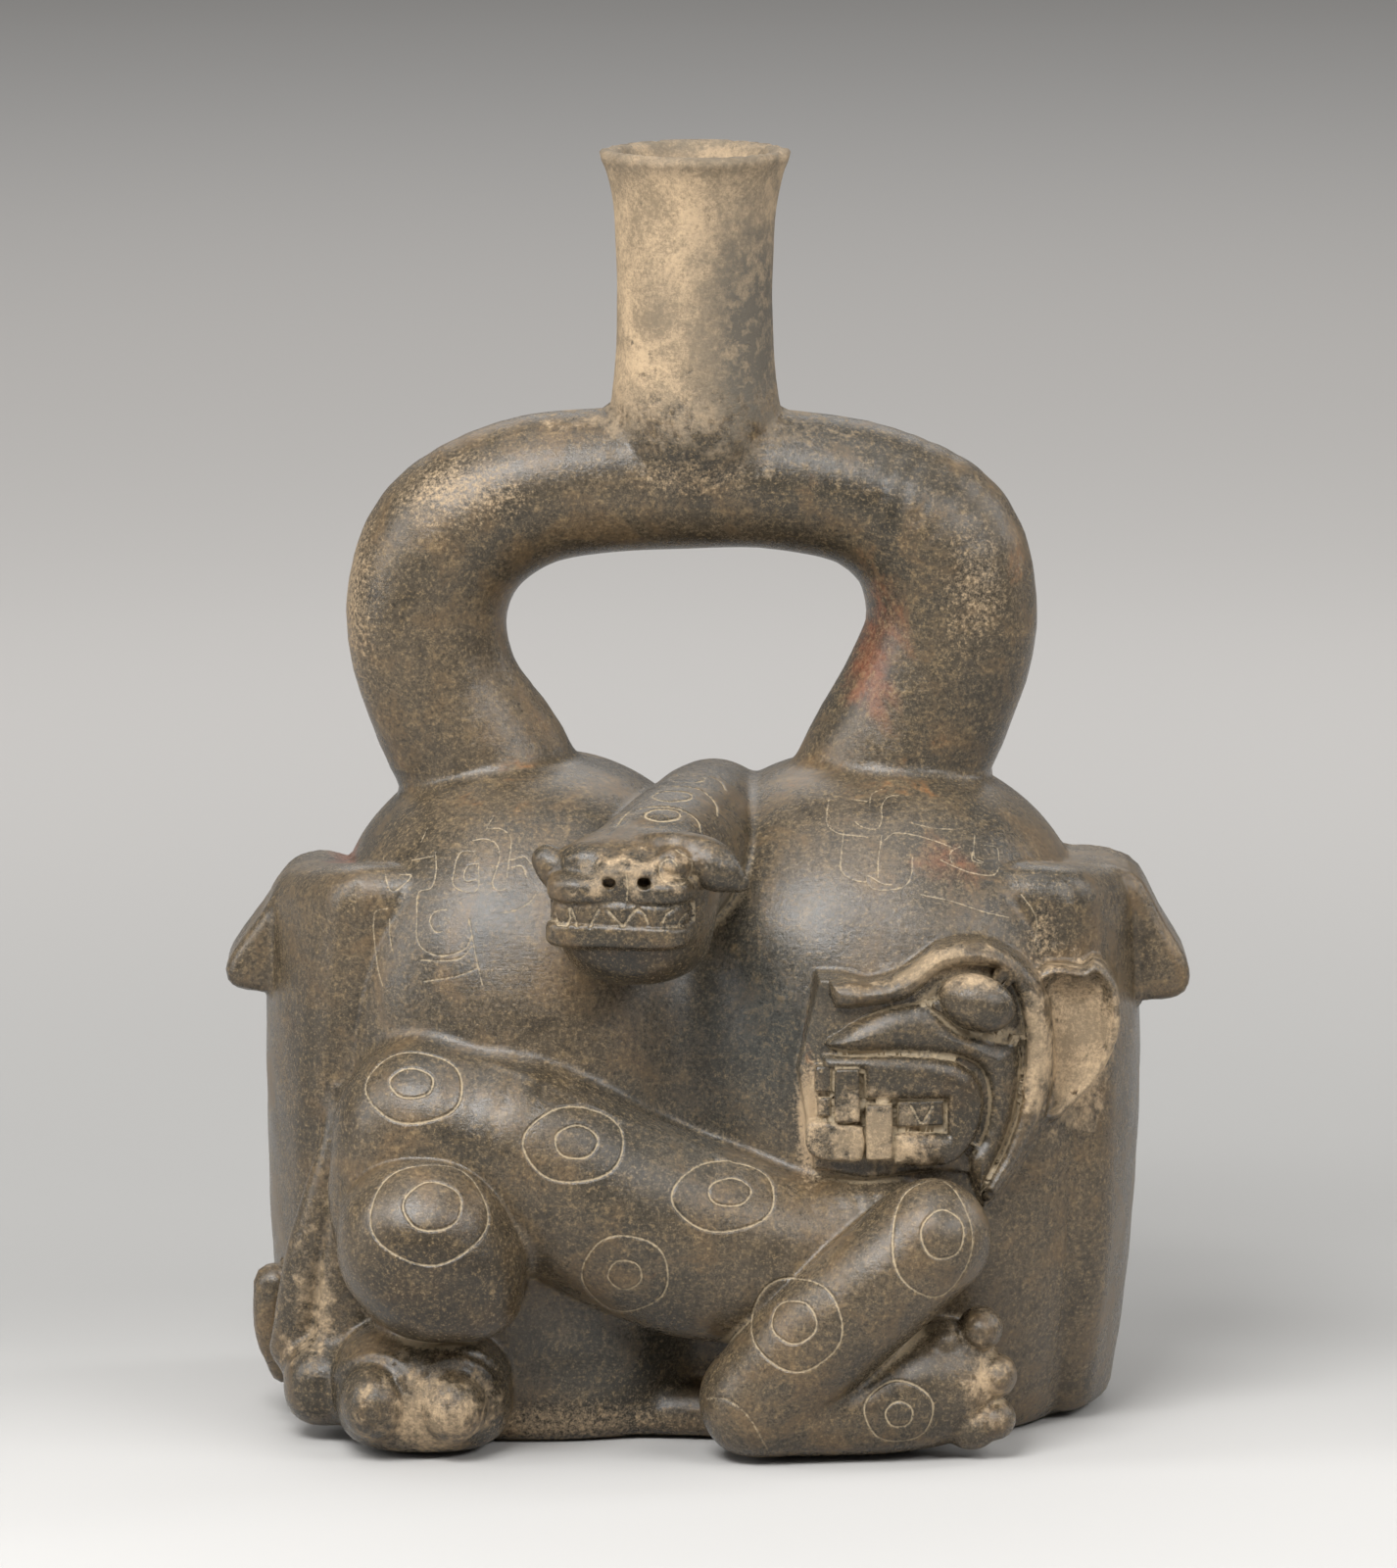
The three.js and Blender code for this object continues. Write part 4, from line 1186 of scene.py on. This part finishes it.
def floor_piece():
    """A matt floor whose tone changes with the distance from a point just in front of the vessel: a darker
    ring round and behind the vessel is painted shadow, and the brighter band beyond it painted light.
    """
    half = 9.0
    mesh = bpy.data.meshes.new("floor")
    corners = [(-half, -half, 0), (half, -half, 0), (half, half, 0), (-half, half, 0)]
    mesh.from_pydata(corners, [], [(0, 1, 2, 3)])
    t = Tree("floor")
    centred = t.node("ShaderNodeVectorMath", {0: t.place, 1: (0, 0.3, 0)}, operation="ADD").outputs["Vector"]
    reach = t.node("ShaderNodeVectorMath", {0: centred}, operation="LENGTH").outputs["Value"]
    # Painted shadow in the darker ring round the vessel, painted light in the brighter band further out,
    # dimmer again far away
    tone = t.mix(t.span(reach, 0.24, 0.48), (0.45, 0.443, 0.432), (0.335, 0.331, 0.323))
    tone = t.mix(t.span(reach, 0.55, 1.8), tone, (0.61, 0.595, 0.58))
    tone = t.mix(t.span(reach, 2.6, 4.2), tone, (0.505, 0.5, 0.495))
    t.put(t.shader.inputs["Base Color"], tone)
    t.shader.inputs["Roughness"].default_value = 0.9
    t.shader.inputs["Specular IOR Level"].default_value = 0.1
    mesh.materials.append(t.material)
    piece = bpy.data.objects.new("floor", mesh)
    bpy.context.collection.objects.link(piece)
    return piece


def soft_box(name, azimuth, elevation, distance, size, power):
    """A soft box that looks at the vessel; azimuth runs to the right from the front, in degrees."""
    a, e = math.radians(azimuth), math.radians(elevation)
    middle = Vector((0, 0, 0.15))
    way = Vector((math.sin(a) * math.cos(e), -math.cos(a) * math.cos(e), math.sin(e)))
    light = bpy.data.lights.new(name, "AREA")
    light.shape, light.size, light.size_y = "RECTANGLE", size[0], size[1]
    light.energy = power
    lamp = bpy.data.objects.new(name, light)
    lamp.location = middle + way * distance
    lamp.rotation_euler = way.to_track_quat("Z", "Y").to_euler()
    bpy.context.collection.objects.link(lamp)


def studio():
    soft_box("key_left", -22, 44, 1.8, (0.9, 0.6), 39)
    soft_box("key_right", 48, 30, 1.9, (1.1, 0.5), 16)
    soft_box("side_left", -74, 24, 1.7, (0.4, 1.2), 12)
    soft_box("side_right", 108, 30, 1.7, (0.25, 1.1), 7)
    soft_box("top", 0, 84, 1.7, (1.4, 1.0), 12)
    soft_box("backdrop", 180, 37, 4.2, (3.0, 2.5), 35)
    world = bpy.data.worlds.new("studio")
    world.use_nodes = True
    sky = world.node_tree.nodes["Background"].inputs
    sky["Color"].default_value, sky["Strength"].default_value = (0.98, 0.95, 0.91, 1), 0.26
    bpy.context.scene.world = world
    eye, aim = Vector((0.0009, -2.9999, 0.6130)), Vector((0.0009, 0, 0.1593))
    camera = bpy.data.cameras.new("camera")
    camera.lens, camera.sensor_width = 273.06, 36
    camera.clip_start, camera.clip_end = 0.1, 40
    holder = bpy.data.objects.new("camera", camera)
    holder.location = eye
    holder.rotation_euler = (aim - eye).to_track_quat("-Z", "Y").to_euler()
    bpy.context.collection.objects.link(holder)
    bpy.context.scene.camera = holder
    bpy.context.scene.view_settings.view_transform = "Standard"


vessel = build_vessel()
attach(vessel, "root")
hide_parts("stirrup_spout_vessel")
floor_piece()
studio()
